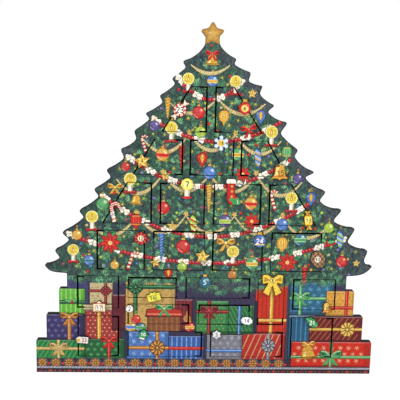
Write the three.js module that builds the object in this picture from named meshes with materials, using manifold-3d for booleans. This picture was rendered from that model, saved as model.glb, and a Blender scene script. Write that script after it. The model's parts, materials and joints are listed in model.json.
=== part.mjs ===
// Tree advent calendar: a flat fibreboard front cut to the outline of a fir tree that stands on a
// pile of parcels. Twenty-four doors are sawn out of the front, each turns on two hidden steel pins
// and carries a glued-on number tab that overlaps the front as its stop and finger pull. Behind the
// front stand frames of thin boards that form one compartment for each door, on a solid plinth and
// closed by a hardboard back.
//
// Millimetres. X runs to the viewer's right, Z up, and the front faces -Y. The origin is the middle
// of the foot of the whole object's box.
import * as THREE from "three";
import { mergeVertices } from "three/addons/utils/BufferGeometryUtils.js";
import Module from "manifold-3d";

const wasm = await Module();
wasm.setup();

// Depths, from front to back
const TAB_THICKNESS = 3;
const DOOR_PROUD = 0.3;
const PANEL_THICKNESS = 9;
const DOOR_THICKNESS = 9;
const COMPARTMENT_DEPTH = 35;
const BACK_THICKNESS = 3;

// Gaps round a door: at its hinged side, at the side across from an upright or a level hinge line,
// and at the other two
const HINGE_GAP = 2.3;
const FREE_SIDE_GAP = 1.9;
const FREE_END_GAP = 1.2;
const EDGE_GAP = 0.8;

// Hinges: a door turns on two round pins that stand out of its ends near its hinged side
const HINGE_NOTCH = 10.5;
const PIN_INSET = 5;
const PIN_RADIUS = 1;
const PIN_CLEARANCE = 0.18;
const PIN_IN_PANEL = 4;
const PIN_IN_DOOR = 3;
const PIN_HOLE_EXTRA = 0.4;
const PIN_SIDES = 8;

// Boards behind the front
const BOARD = 5;
const SLOPE_COVER = 3;
const SIDE_COVER = 3;
const TOP_COVER = 2.5;
const PLINTH_DROP = 3;

// Number tabs: their outlines are drawn in units of this size
const TAB_SIZE = 10;

// Rounding of the front's outline
const TIP_ROUND = 7;
const NOTCH_ROUND = 4;
const STEP_ROUND = 2;
const FOOT_ROUND = 1;
const STAR_ROUND = 5.2;
const STAR_VALLEY_ROUND = 2.4;
const CURVE_STEPS = 3;

// How far a cut runs out past the board it goes through, and how far corners are off their line
const PROBE = 1;
const RAGGED = 1e-7;
const SAME_CORNER = 0.01;

// Rails and openings of the front's middle, in turn from the foot up to the fir's neck
const FOOT_RAIL = 23.3;
const LOW_OPENING = 36.5;
const LOW_RAIL = 9.9;
const MIDDLE_OPENING = 28.7;
const MIDDLE_RAIL = 8.3;
const HIGH_OPENING = 29.1;
const SKIRT_RAIL = 9.5;
const ROW_4_OPENING = 54.2;
const RAIL_3 = 9;
const ROW_3_OPENING = 55.5;
const RAIL_2 = 10;
const ROW_2_OPENING = 47.3;
const RAIL_1 = 9.2;
const ROW_1_OPENING = 59.5;
const CROWN = 52;

// The lower openings at both sides, and how far the heads over them stand off the middle one's
const SIDE_OPENING = 57.7;
const SIDE_RAIL = 10.8;
const LEFT_HEAD_RISE = 1.2;
const RIGHT_HEAD_DROP = 0.6;

// Sills and heads, measured up from the foot: each level stands on a rail over the one below
const FOOT = { head: 0 };
const MID_LOW = above(FOOT, FOOT_RAIL, LOW_OPENING);
const MID_MIDDLE = above(MID_LOW, LOW_RAIL, MIDDLE_OPENING);
const MID_HIGH = above(MID_MIDDLE, MIDDLE_RAIL, HIGH_OPENING);
const MID_TALL = { sill: MID_MIDDLE.sill, head: MID_HIGH.head };
const ROW_4 = above(MID_HIGH, SKIRT_RAIL, ROW_4_OPENING);
const ROW_3 = above(ROW_4, RAIL_3, ROW_3_OPENING);
const ROW_2 = above(ROW_3, RAIL_2, ROW_2_OPENING);
const ROW_1 = above(ROW_2, RAIL_1, ROW_1_OPENING);
const SIDE_LOW = above(FOOT, FOOT_RAIL, SIDE_OPENING);
const LEFT_HIGH = { sill: SIDE_LOW.head + SIDE_RAIL, head: MID_HIGH.head + LEFT_HEAD_RISE };
const RIGHT_HIGH = { sill: SIDE_LOW.head + SIDE_RAIL, head: MID_HIGH.head - RIGHT_HEAD_DROP };

// The fir reaches from its neck under the star down to its skirt on the parcels
const NECK_HEIGHT = ROW_1.head + CROWN;
const SKIRT_DROP = 5.5;
const SKIRT_HEIGHT = ROW_4.sill - SKIRT_DROP;

// Half of the whole width, at the lowest parcels
const HALF_WIDTH = 230;

// Tips of the fir's branches and the notches under them, from the top down: the place across as a
// share of the half width, and the height as a share of the way from the skirt to the neck. A
// branch's upper edge sags by a share of its length, and the lowest one's underside swells by one
const LEFT_BRANCHES = [
  { tip: [-0.167, 0.931], notch: [-0.143, 0.906], sag: 0.11 },
  { tip: [-0.226, 0.857], notch: [-0.201, 0.836], sag: 0.02 },
  { tip: [-0.294, 0.784], notch: [-0.269, 0.757], sag: 0.04 },
  { tip: [-0.373, 0.708], notch: [-0.342, 0.685], sag: 0.04 },
  { tip: [-0.434, 0.633], notch: [-0.416, 0.599], sag: 0.02 },
  { tip: [-0.51, 0.554], notch: [-0.485, 0.515], sag: 0.085 },
  { tip: [-0.592, 0.463], notch: [-0.559, 0.431], sag: 0.05 },
  { tip: [-0.662, 0.377], notch: [-0.628, 0.346], sag: 0.035 },
  { tip: [-0.749, 0.282], notch: [-0.713, 0.253], sag: 0.05 },
  { tip: [-0.848, 0.184], notch: [-0.798, 0.152], sag: 0.05 },
  { tip: [-0.888, 0.105], notch: [-0.853, 0.068], sag: 0.08 },
  { tip: [-0.946, 0.039], notch: [-0.884, 0.004], sag: 0.095, belly: 0.14 },
];
const RIGHT_BRANCHES = [
  { tip: [0.139, 0.944], notch: [0.121, 0.923], sag: 0.08 },
  { tip: [0.221, 0.89], notch: [0.205, 0.853], sag: 0.045 },
  { tip: [0.289, 0.835], notch: [0.27, 0.8], sag: 0.065 },
  { tip: [0.362, 0.753], notch: [0.318, 0.725], sag: 0.07 },
  { tip: [0.44, 0.682], notch: [0.396, 0.634], sag: 0.1 },
  { tip: [0.508, 0.563], notch: [0.481, 0.536], sag: 0.04 },
  { tip: [0.612, 0.468], notch: [0.548, 0.444], sag: 0.1 },
  { tip: [0.681, 0.384], notch: [0.639, 0.342], sag: 0.09 },
  { tip: [0.781, 0.305], notch: [0.726, 0.252], sag: 0.13 },
  { tip: [0.864, 0.221], notch: [0.816, 0.157], sag: 0.1 },
  { tip: [0.946, 0.122], notch: [0.922, 0.074], sag: 0.115 },
  { tip: [0.977, 0.049], notch: [0.875, 0.002], sag: 0.24, belly: 0.14 },
];

// The star on top, with its two lower points sunk in the neck of the fir
const STAR_RISE = 13.6;
const STAR_CENTRE = NECK_HEIGHT + STAR_RISE;
const STAR_OUTER = 17.2;
const STAR_INNER = 9.2;
const NECK_HALF = 9.3;

// The parcels at the foot step out to both sides: each step's place across on the left and on the
// right as a share of the half width, and its top as a share of the skirt's height
const FOOT_STEPS = [
  { left: 0.816, right: 0.826, top: 1 },
  { left: 0.863, right: 0.878, top: 0.851 },
  { left: 0.938, right: 0.938, top: 0.593 },
  { left: 1, right: 1, top: 0.332 },
];

// Planes across the depth, worked out so that the whole depth is centred on the origin
const DEPTH = TAB_THICKNESS + DOOR_PROUD + PANEL_THICKNESS + COMPARTMENT_DEPTH + BACK_THICKNESS;
const DOOR_FRONT = TAB_THICKNESS - DEPTH / 2;
const PANEL_FRONT = DOOR_FRONT + DOOR_PROUD;
const PANEL_BACK = PANEL_FRONT + PANEL_THICKNESS;
const BACK_FRONT = PANEL_BACK + COMPARTMENT_DEPTH;
const PIN_DEPTH = DOOR_FRONT + DOOR_THICKNESS / 2;

// The level of an opening that stands on a rail over the level below
function above(below, rail, opening) {
  const sill = below.head + rail;
  return { sill, head: sill + opening };
}

// A polygon with its corners cut round: each corner becomes a short curve
function roundedShape(points, radii) {
  const shape = new THREE.Shape();
  const count = points.length;
  points.forEach((point, i) => {
    const corner = new THREE.Vector2(...point);
    const before = new THREE.Vector2(...points[(i + count - 1) % count]);
    const after = new THREE.Vector2(...points[(i + 1) % count]);
    const wanted = Array.isArray(radii) ? radii[i] : radii;
    const room = Math.min(corner.distanceTo(before), corner.distanceTo(after)) * 0.45;
    const reach = Math.min(wanted, room);
    const start = corner.clone().lerp(before, reach / corner.distanceTo(before));
    const end = corner.clone().lerp(after, reach / corner.distanceTo(after));
    if (i === 0) shape.moveTo(start.x, start.y);
    else shape.lineTo(start.x, start.y);
    if (reach > 0) shape.quadraticCurveTo(corner.x, corner.y, end.x, end.y);
  });
  shape.closePath();
  return shape;
}

// Points along a line that sags towards the trunk by a share of its own length
function saggingLine(from, to, share, inward) {
  const start = new THREE.Vector2(...from);
  const end = new THREE.Vector2(...to);
  const normal = end.clone().sub(start).rotateAround(new THREE.Vector2(), inward * (Math.PI / 2));
  const control = start.clone().lerp(end, 0.5).addScaledVector(normal, 2 * share);
  const curve = new THREE.QuadraticBezierCurve(start, control, end);
  return curve.getPoints(CURVE_STEPS).map((p) => [p.x, p.y]);
}

// A place on the fir's outline from its shares of the half width and of the fir's height
function onFir([across, up]) {
  return [across * HALF_WIDTH, SKIRT_HEIGHT + up * (NECK_HEIGHT - SKIRT_HEIGHT)];
}

// One side of the fir, from the neck down to the parcels, with the corner radius of each point
function branchSide(branches, side) {
  const points = [];
  const radii = [];
  let from = [side * NECK_HALF, NECK_HEIGHT];
  branches.forEach((branch) => {
    const tip = onFir(branch.tip);
    const notch = onFir(branch.notch);
    const flank = saggingLine(from, tip, branch.sag, -side);
    flank.slice(0, -1).forEach((point) => {
      points.push(point);
      radii.push(NOTCH_ROUND);
    });
    points.push(tip);
    radii.push(TIP_ROUND);
    if (branch.belly) {
      saggingLine(tip, notch, -branch.belly, -side).slice(1, -1).forEach((point) => {
        points.push(point);
        radii.push(TIP_ROUND);
      });
    }
    from = notch;
  });
  points.push(from);
  radii.push(NOTCH_ROUND);
  return { points, radii };
}

// The stepped parcels down to the foot
function footSide(side) {
  const points = [];
  const radii = [];
  FOOT_STEPS.forEach((step, i) => {
    const x = side * HALF_WIDTH * (side < 0 ? step.left : step.right);
    const next = FOOT_STEPS[i + 1];
    points.push([x, SKIRT_HEIGHT * step.top], [x, next ? SKIRT_HEIGHT * next.top : 0]);
    radii.push(i === 0 ? FOOT_ROUND : STEP_ROUND, next ? 0 : FOOT_ROUND);
  });
  return { points, radii };
}

// The star's upper edge from its lower left notch over the top to its lower right notch
function starTop() {
  const points = [];
  const radii = [];
  for (let i = -3; i <= 3; i += 1) {
    const angle = Math.PI / 2 - (i * Math.PI) / 5;
    const isTip = i % 2 === 0;
    const radius = isTip ? STAR_OUTER : STAR_INNER;
    points.push([radius * Math.cos(angle), STAR_CENTRE + radius * Math.sin(angle)]);
    radii.push(isTip ? STAR_ROUND : STAR_VALLEY_ROUND);
  }
  return { points, radii };
}

// The whole outline, anticlockwise seen from the front, from the right foot over the star
function frontOutline() {
  const right = branchSide(RIGHT_BRANCHES, 1);
  const left = branchSide(LEFT_BRANCHES, -1);
  const footRight = footSide(1);
  const footLeft = footSide(-1);
  const star = starTop();
  const up = (side, foot, key) => [...side[key], ...foot[key]].reverse();
  const points = [
    ...up(right, footRight, "points"),
    ...[...star.points].reverse(),
    ...left.points,
    ...footLeft.points,
  ];
  const radii = [
    ...up(right, footRight, "radii"),
    ...[...star.radii].reverse(),
    ...left.radii,
    ...footLeft.radii,
  ];
  return roundedShape(points, radii);
}

// Three corners exactly in line lose the middle one when a face is cut into triangles, so every
// corner is set off by far less than any size here can show. Where two curves meet, one corner stays
function raggedShape(shape) {
  const drawn = shape.extractPoints(CURVE_STEPS).shape;
  const corners = drawn.filter((corner, i) => {
    return corner.distanceTo(drawn[(i + 1) % drawn.length]) > SAME_CORNER;
  });
  return new THREE.Shape(corners.map(({ x, y }, i) => {
    return new THREE.Vector2(x + RAGGED * Math.sin(7 * i), y + RAGGED * Math.cos(11 * i));
  }));
}

// A flat piece: an outline in the X-Z plane, given its thickness between two planes across Y
function plateGeometry(shape, front, back) {
  const geometry = new THREE.ExtrudeGeometry(raggedShape(shape), {
    depth: back - front,
    bevelEnabled: false,
  });
  geometry.rotateX(Math.PI / 2);
  geometry.translate(0, back, 0);
  return geometry;
}

function solidOf(geometry) {
  const bare = geometry.clone();
  bare.deleteAttribute("normal");
  bare.deleteAttribute("uv");
  const merged = mergeVertices(bare, 1e-4);
  const vertProperties = new Float32Array(merged.attributes.position.array);
  const triVerts = new Uint32Array(merged.index.array);
  return new wasm.Manifold(new wasm.Mesh({ numProp: 3, vertProperties, triVerts }));
}

function geometryOf(solid) {
  const mesh = solid.getMesh();
  const geometry = new THREE.BufferGeometry();
  geometry.setAttribute("position", new THREE.BufferAttribute(mesh.vertProperties, 3));
  geometry.setIndex(new THREE.BufferAttribute(mesh.triVerts, 1));
  geometry.computeVertexNormals();
  return geometry;
}

// A round rod from one point to another that lies along X or along Z
function rodSolid(from, to, radius) {
  const start = new THREE.Vector3(...from);
  const end = new THREE.Vector3(...to);
  const rod = new THREE.CylinderGeometry(radius, radius, start.distanceTo(end), PIN_SIDES);
  if (start.z === end.z) rod.rotateZ(Math.PI / 2);
  else rod.rotateX(Math.PI / 2);
  const middle = start.lerp(end, 0.5);
  rod.translate(middle.x, middle.y, middle.z);
  return solidOf(rod);
}

// Outlines of the number tabs, each drawn round its own middle in units of the tabs' size
function candyTab(radius, half, end, flare) {
  const neck = flare * 0.42;
  const bend = Math.asin(neck / radius);
  const shape = new THREE.Shape();
  shape.moveTo(end, flare);
  shape.lineTo(half + radius * Math.cos(bend), neck);
  shape.absarc(half, 0, radius, bend, Math.PI / 2, false);
  shape.absarc(-half, 0, radius, Math.PI / 2, Math.PI - bend, false);
  shape.lineTo(-end, flare);
  shape.lineTo(-end * 0.91, 0);
  shape.lineTo(-end, -flare);
  shape.absarc(-half, 0, radius, Math.PI + bend, 1.5 * Math.PI, false);
  shape.absarc(half, 0, radius, 1.5 * Math.PI, 2 * Math.PI - bend, false);
  shape.lineTo(end, -flare);
  shape.lineTo(end * 0.91, 0);
  shape.closePath();
  return shape;
}

function baubleTab(radius) {
  const capHalf = radius * 0.3;
  const lean = Math.acos(capHalf / radius);
  const shape = new THREE.Shape();
  shape.moveTo(-capHalf, radius * 1.28);
  shape.lineTo(-capHalf, radius * Math.sin(lean));
  shape.absarc(0, 0, radius, Math.PI - lean, 2 * Math.PI + lean, false);
  shape.lineTo(capHalf, radius * 1.28);
  shape.closePath();
  return shape;
}

function starTab(points, outer, inner, round) {
  const corners = [];
  for (let i = 0; i < 2 * points; i += 1) {
    const angle = Math.PI / 2 + (i * Math.PI) / points;
    const radius = i % 2 === 0 ? outer : inner;
    corners.push([radius * Math.cos(angle), radius * Math.sin(angle)]);
  }
  return roundedShape(corners, round);
}

function snowflakeTab(reach, armHalf, valley) {
  const corners = [];
  for (let i = 0; i < 6; i += 1) {
    const angle = (i * Math.PI) / 3;
    const turn = new THREE.Matrix3().makeRotation(angle);
    [
      [-armHalf, valley + armHalf],
      [-armHalf * 1.5, reach * 0.8],
      [0, reach],
      [armHalf * 1.5, reach * 0.8],
      [armHalf, valley + armHalf],
    ].reverse().forEach(([x, y]) => {
      const p = new THREE.Vector2(x, y).applyMatrix3(turn);
      corners.push([p.x, p.y]);
    });
  }
  return roundedShape(corners, 0);
}

// Lobes round a ring or an oval, for a rose, a snowball or a cloud of snow
function lobedTab(lobes, halfWidth, halfHeight, dip) {
  const shape = new THREE.Shape();
  const at = (angle, share) => [halfWidth * share * Math.cos(angle), halfHeight * share * Math.sin(angle)];
  shape.moveTo(...at(0, dip));
  for (let i = 0; i < lobes; i += 1) {
    const middle = ((i + 0.5) * 2 * Math.PI) / lobes;
    const end = ((i + 1) * 2 * Math.PI) / lobes;
    shape.quadraticCurveTo(...at(middle, 2 - dip), ...at(end, dip));
  }
  shape.closePath();
  return shape;
}

function bellTab(half, height) {
  const shape = new THREE.Shape();
  shape.moveTo(-half * 0.2, height * 0.56);
  shape.quadraticCurveTo(-half * 0.62, height * 0.5, -half * 0.62, height * 0.1);
  shape.quadraticCurveTo(-half * 0.62, -height * 0.25, -half, -height * 0.36);
  shape.lineTo(-half * 0.9, -height * 0.44);
  shape.lineTo(-half * 0.24, -height * 0.44);
  shape.quadraticCurveTo(0, -height * 0.66, half * 0.24, -height * 0.44);
  shape.lineTo(half * 0.9, -height * 0.44);
  shape.lineTo(half, -height * 0.36);
  shape.quadraticCurveTo(half * 0.62, -height * 0.25, half * 0.62, height * 0.1);
  shape.quadraticCurveTo(half * 0.62, height * 0.5, half * 0.2, height * 0.56);
  shape.closePath();
  return shape;
}

function caneTab(height, hook, half) {
  const shape = new THREE.Shape();
  const top = height / 2 - hook - half;
  shape.moveTo(-hook / 2 - half, -height / 2);
  shape.lineTo(-hook / 2 + half, -height / 2);
  shape.lineTo(-hook / 2 + half, top);
  shape.absarc(hook / 2, top, hook - half, Math.PI, 0, true);
  shape.absarc(hook * 1.5, top, half, Math.PI, 2 * Math.PI, false);
  shape.absarc(hook / 2, top, hook + half, 0, Math.PI, false);
  shape.closePath();
  return shape;
}

function candleTab(glow, waxHalf, waxHeight, trayHalf, trayHeight) {
  const lean = Math.acos(waxHalf / glow);
  const waxTop = waxHeight / 2;
  const centre = waxTop + glow * Math.sin(lean);
  const shape = new THREE.Shape();
  shape.moveTo(-waxHalf, waxTop);
  shape.lineTo(-waxHalf, -waxTop);
  shape.lineTo(-trayHalf, -waxTop);
  shape.quadraticCurveTo(-trayHalf * 0.8, -waxTop - trayHeight, 0, -waxTop - trayHeight);
  shape.quadraticCurveTo(trayHalf * 0.8, -waxTop - trayHeight, trayHalf, -waxTop);
  shape.lineTo(waxHalf, -waxTop);
  shape.lineTo(waxHalf, waxTop);
  shape.absarc(0, centre, glow, -lean, Math.PI + lean, false);
  shape.closePath();
  return shape;
}

function stockingTab(half, height, foot) {
  const corners = [
    [-half * 1.12, height / 2],
    [-half * 1.12, height * 0.34],
    [-half, height * 0.32],
    [-half, -height * 0.28],
    [-half * 0.4, -height / 2],
    [half + foot, -height / 2],
    [half + foot * 1.15, -height * 0.36],
    [half + foot * 0.7, -height * 0.24],
    [half, -height * 0.12],
    [half, height * 0.32],
    [half * 1.12, height * 0.34],
    [half * 1.12, height / 2],
  ];
  return roundedShape(corners, 0.24);
}

function pineconeTab(half, height, rows) {
  const corners = [];
  const width = (share) => half * Math.sin(Math.PI * (0.16 + 0.72 * share));
  for (let i = 0; i < rows; i += 1) {
    const share = i / (rows - 1);
    const z = height * (0.5 - share);
    corners.push([-width(share), z], [-width(share) * 0.86, z - height * 0.06]);
  }
  const right = corners.map(([x, z]) => [-x, z]).reverse();
  return roundedShape([...corners, ...right], 0);
}

function windowTab(half, height) {
  const corners = [
    [-half, height * 0.24],
    [-half, -height / 2],
    [half, -height / 2],
    [half, height * 0.24],
    [half * 0.42, height * 0.3],
    [0, height / 2],
    [-half * 0.42, height * 0.3],
  ];
  return roundedShape(corners, 0.09);
}

function tagTab(half, height) {
  const corners = [
    [-half, 0],
    [-half * 0.62, -height / 2],
    [half, -height / 2],
    [half, height / 2],
    [-half * 0.62, height / 2],
  ];
  return roundedShape(corners, 0.16);
}

function parcelTab(half, height) {
  const corners = [
    [-half, height * 0.3],
    [-half, -height / 2],
    [half, -height / 2],
    [half, height * 0.3],
    [half * 0.45, height * 0.3],
    [half * 0.35, height / 2],
    [0, height * 0.36],
    [-half * 0.35, height / 2],
    [-half * 0.45, height * 0.3],
  ];
  return roundedShape(corners, 0.11);
}

function mittenTab(half, height) {
  const corners = [
    [-half * 0.7, -height / 2],
    [half * 0.6, -height / 2],
    [half * 0.62, -height * 0.16],
    [half * 1.15, height * 0.12],
    [half * 0.95, height * 0.3],
    [half * 0.5, height * 0.14],
    [half * 0.45, height * 0.46],
    [-half * 0.5, height / 2],
    [-half * 0.85, height * 0.1],
  ];
  return roundedShape(corners, 0.22);
}

function bowTab(half, height, tail) {
  const corners = [
    [0, height * 0.16],
    [-half * 0.5, height * 0.5],
    [-half, height * 0.42],
    [-half * 0.94, -height * 0.4],
    [-half * 0.4, -height * 0.28],
    [-half * 0.92, -tail * 0.78],
    [-half * 0.3, -tail],
    [0, -height * 0.5],
    [half * 0.3, -tail],
    [half * 0.92, -tail * 0.78],
    [half * 0.4, -height * 0.28],
    [half * 0.94, -height * 0.4],
    [half, height * 0.42],
    [half * 0.5, height * 0.5],
  ];
  return roundedShape(corners, 0.18);
}

// A holly leaf along X: points out at the spines, and hollow curves between them
function hollyTab(half, width, spines) {
  const shape = new THREE.Shape();
  shape.moveTo(-half, 0);
  const side = (sign) => {
    const from = -sign;
    for (let i = 1; i <= spines; i += 1) {
      const share = i / spines;
      const x = from * half * (1 - 2 * share);
      const bulge = Math.sin(Math.PI * (share * 0.86 + 0.04));
      const z = i === spines ? 0 : -sign * width * bulge;
      const hollow = Math.sin(Math.PI * ((i - 0.5) / spines));
      shape.quadraticCurveTo(x - (from * -half) / spines, -sign * width * 0.52 * hollow, x, z);
    }
  };
  side(1);
  side(-1);
  shape.closePath();
  return shape;
}

// Every door: its opening between two levels, its hinged side, and where its tab sits. Places
// across are shares of the half width, and leftTop or rightTop is the head's corner where that side
// slopes. A tab sits at an edge: up is its height over the sill as a share of the opening's, away
// its distance from the side named by from as a share of the opening's width, and inset how far
// inside the opening its middle lies, in units of the tabs' size.
const DOORS = [
  {
    number: 23, level: ROW_1, left: -0.279, right: -0.02, leftTop: -0.116, hinge: "right",
    tab: { edge: "left", up: 0.48, inset: 0.59, turn: 50, outline: candyTab(0.87, 0, 1.45, 0.46) },
  },
  {
    number: 6, level: ROW_1, left: 0.021, right: 0.298, rightTop: 0.131, hinge: "left",
    tab: { edge: "right", up: 0.55, inset: 0.39, turn: 0, outline: baubleTab(0.87) },
  },
  {
    number: 4, level: ROW_2, left: -0.44, right: -0.152, leftTop: -0.318, hinge: "right",
    tab: { edge: "left", up: 0.38, inset: 0.23, turn: 8, outline: starTab(5, 1.06, 0.52, 0.14) },
  },
  {
    number: 18, level: ROW_2, left: -0.116, right: 0.138, hinge: "left",
    tab: {
      edge: "head", from: "right", away: 0.301, inset: 0.4, turn: 0,
      outline: snowflakeTab(1.06, 0.2, 0.34),
    },
  },
  {
    number: 15, level: ROW_2, left: 0.175, right: 0.451, rightTop: 0.331, hinge: "left",
    tab: { edge: "right", up: 0.14, inset: 0.74, turn: 0, outline: bellTab(1.1, 2) },
  },
  {
    number: 20, level: ROW_3, left: -0.614, right: -0.326, leftTop: -0.471, hinge: "right",
    tab: { edge: "left", up: 0.29, inset: 0.72, turn: 12, outline: caneTab(2.7, 0.52, 0.26) },
  },
  {
    number: 7, level: ROW_3, left: -0.283, right: -0.022, hinge: "left",
    tab: {
      edge: "head", from: "right", away: 0.403, inset: 1.35, turn: 0,
      outline: candleTab(0.86, 0.34, 0.8, 0.7, 0.36),
    },
  },
  {
    number: 1, level: ROW_3, left: 0.026, right: 0.304, hinge: "right",
    tab: {
      edge: "head", from: "left", away: 0.354, inset: 1.05, turn: 0,
      outline: stockingTab(0.54, 3.4, 0.7),
    },
  },
  {
    number: 13, level: ROW_3, left: 0.346, right: 0.629, rightTop: 0.478, hinge: "left",
    tab: {
      edge: "right", up: 0.15, inset: 0.62, turn: 97,
      outline: candyTab(0.56, 0.32, 1.36, 0.46),
    },
  },
  {
    number: 12, level: ROW_4, left: -0.645, right: -0.364, hinge: "left",
    tab: { edge: "right", up: 0.81, inset: 0.56, turn: 0, outline: lobedTab(9, 0.9, 0.9, 0.9) },
  },
  {
    number: 9, level: ROW_4, left: -0.319, right: -0.017, hinge: "top",
    tab: { edge: "right", up: 0.37, inset: 0.32, turn: -6, outline: starTab(5, 1.06, 0.52, 0.14) },
  },
  {
    number: 24, level: ROW_4, left: 0.025, right: 0.323, hinge: "left",
    tab: { edge: "right", up: 0.79, inset: 0.51, turn: 0, outline: baubleTab(0.92) },
  },
  {
    number: 11, level: ROW_4, left: 0.369, right: 0.668, hinge: "top",
    tab: { edge: "right", up: 0.34, inset: 0.5, turn: 24, outline: pineconeTab(1.04, 2.2, 6) },
  },
  {
    number: 17, level: LEFT_HIGH, left: -0.759, right: -0.513, hinge: "left",
    tab: {
      edge: "sill", from: "right", away: 0.468, inset: 0.36, turn: 0,
      outline: windowTab(0.86, 1.6),
    },
  },
  {
    number: 22, level: SIDE_LOW, left: -0.757, right: -0.512, hinge: "right",
    tab: { edge: "left", up: 0.42, inset: 0.61, turn: -4, outline: tagTab(0.94, 1.04) },
  },
  {
    number: 16, level: MID_HIGH, left: -0.463, right: -0.175, hinge: "top",
    tab: {
      edge: "sill", from: "right", away: 0.471, inset: 0.3, turn: 14,
      outline: parcelTab(0.92, 1.4),
    },
  },
  {
    number: 2, level: MID_MIDDLE, left: -0.464, right: -0.1, hinge: "right",
    tab: { edge: "left", up: 0.78, inset: 0.29, turn: 0, outline: lobedTab(8, 0.56, 0.56, 0.88) },
  },
  {
    number: 10, level: MID_LOW, left: -0.464, right: -0.02, hinge: "right",
    tab: {
      edge: "head", from: "left", away: 0.212, inset: 0.42, turn: -28,
      outline: mittenTab(0.68, 1.46),
    },
  },
  {
    number: 5, level: MID_HIGH, left: -0.126, right: 0.256, hinge: "right",
    tab: {
      edge: "head", from: "left", away: 0.296, inset: 0.52, turn: 0,
      outline: baubleTab(0.82),
    },
  },
  {
    number: 14, level: MID_MIDDLE, left: -0.047, right: 0.259, hinge: "top",
    tab: { edge: "right", up: 0.24, inset: 0.42, turn: -10, outline: lobedTab(9, 0.88, 0.6, 0.88) },
  },
  {
    number: 3, level: MID_LOW, left: 0.026, right: 0.462, hinge: "right",
    tab: {
      edge: "head", from: "left", away: 0.086, inset: 0.34, turn: 0,
      outline: starTab(6, 0.7, 0.49, 0.1),
    },
  },
  {
    number: 8, level: MID_TALL, left: 0.302, right: 0.461, hinge: "bottom",
    tab: {
      edge: "head", from: "left", away: 0.525, inset: 0.12, turn: 0,
      outline: bowTab(1.44, 1.55, 2.3),
    },
  },
  {
    number: 19, level: RIGHT_HIGH, left: 0.508, right: 0.766, hinge: "left",
    tab: {
      edge: "sill", from: "right", away: 0.199, inset: 0.4, turn: 10,
      outline: bellTab(0.74, 1.4),
    },
  },
  {
    number: 21, level: SIDE_LOW, left: 0.506, right: 0.761, hinge: "right",
    tab: {
      edge: "head", from: "left", away: 0.495, inset: 0.64, turn: -38,
      outline: hollyTab(1.2, 0.68, 4),
    },
  },
].map((door) => ({
  ...door,
  left: door.left * HALF_WIDTH,
  right: door.right * HALF_WIDTH,
  leftTop: door.leftTop && door.leftTop * HALF_WIDTH,
  rightTop: door.rightTop && door.rightTop * HALF_WIDTH,
}));

// The corners of an opening drawn in by the given gaps, anticlockwise from the lower left
function insetCorners(door, gaps) {
  const { sill, head } = door.level;
  const leftTop = door.leftTop ?? door.left;
  const rightTop = door.rightTop ?? door.right;
  const rise = head - sill;
  const low = sill + gaps.bottom;
  const high = head - gaps.top;
  const slopeGap = (gap, run) => gap * Math.hypot(1, run / rise);
  const leftAt = (z) => door.left + ((leftTop - door.left) * (z - sill)) / rise
    + slopeGap(gaps.left, leftTop - door.left);
  const rightAt = (z) => door.right + ((rightTop - door.right) * (z - sill)) / rise
    - slopeGap(gaps.right, rightTop - door.right);
  return [
    [leftAt(low), low],
    [rightAt(low), low],
    [rightAt(high), high],
    [leftAt(high), high],
  ];
}

function openingCorners(door) {
  return insetCorners(door, { left: 0, right: 0, top: 0, bottom: 0 });
}

// A door's blank: the widest gap at its hinged side, the next at the side across from that
function doorCorners(door) {
  const across = { left: "right", right: "left", top: "bottom", bottom: "top" }[door.hinge];
  const gaps = { left: EDGE_GAP, right: EDGE_GAP, top: EDGE_GAP, bottom: EDGE_GAP };
  gaps[door.hinge] = HINGE_GAP;
  gaps[across] = pinLine(door).upright ? FREE_SIDE_GAP : FREE_END_GAP;
  return insetCorners(door, gaps);
}

// Where a door's pin line lies, and the two openings' edges that its pins cross
function pinLine(door) {
  const inset = HINGE_GAP + PIN_INSET;
  const { sill, head } = door.level;
  if (door.hinge === "left") return { upright: true, at: door.left + inset, ends: [sill, head] };
  if (door.hinge === "right") return { upright: true, at: door.right - inset, ends: [sill, head] };
  const at = door.hinge === "top" ? head - inset : sill + inset;
  return { upright: false, at, ends: [door.left, door.right] };
}

function pinPoint(line, along) {
  return line.upright ? [line.at, PIN_DEPTH, along] : [along, PIN_DEPTH, line.at];
}

// The two pins of a door, or the two holes for them in the front panel
function pinRods(door, radius, intoDoor, intoPanel) {
  const line = pinLine(door);
  return line.ends.map((edge, i) => {
    const out = i === 0 ? -1 : 1;
    return rodSolid(
      pinPoint(line, edge - out * intoDoor),
      pinPoint(line, edge + out * intoPanel),
      radius,
    );
  });
}

// A door's outline: its blank with both corners at the hinged side set back for the pins
function doorShape(door) {
  const [lowLeft, lowRight, highRight, highLeft] = doorCorners(door);
  const set = HINGE_GAP - EDGE_GAP;
  const cut = HINGE_NOTCH - HINGE_GAP;
  let corners = [lowLeft, lowRight, highRight, highLeft];
  if (door.hinge === "left") {
    const [x, low] = lowLeft;
    const high = highLeft[1];
    corners = [
      [x, low + set], [x + cut, low + set], [x + cut, low],
      lowRight, highRight,
      [x + cut, high], [x + cut, high - set], [x, high - set],
    ];
  } else if (door.hinge === "right") {
    const [x, low] = lowRight;
    const high = highRight[1];
    corners = [
      lowLeft, [x - cut, low], [x - cut, low + set], [x, low + set],
      [x, high - set], [x - cut, high - set], [x - cut, high],
      highLeft,
    ];
  } else {
    const isTop = door.hinge === "top";
    const z = isTop ? highLeft[1] : lowLeft[1];
    const inner = isTop ? z - cut : z + cut;
    const [l, r] = [lowLeft[0], lowRight[0]];
    const notched = [
      [l, inner], [l + set, inner], [l + set, z],
      [r - set, z], [r - set, inner], [r, inner],
    ];
    corners = isTop
      ? [lowLeft, lowRight, ...notched.reverse()]
      : [...notched, highRight, highLeft];
  }
  return roundedShape(corners, 0);
}

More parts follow.
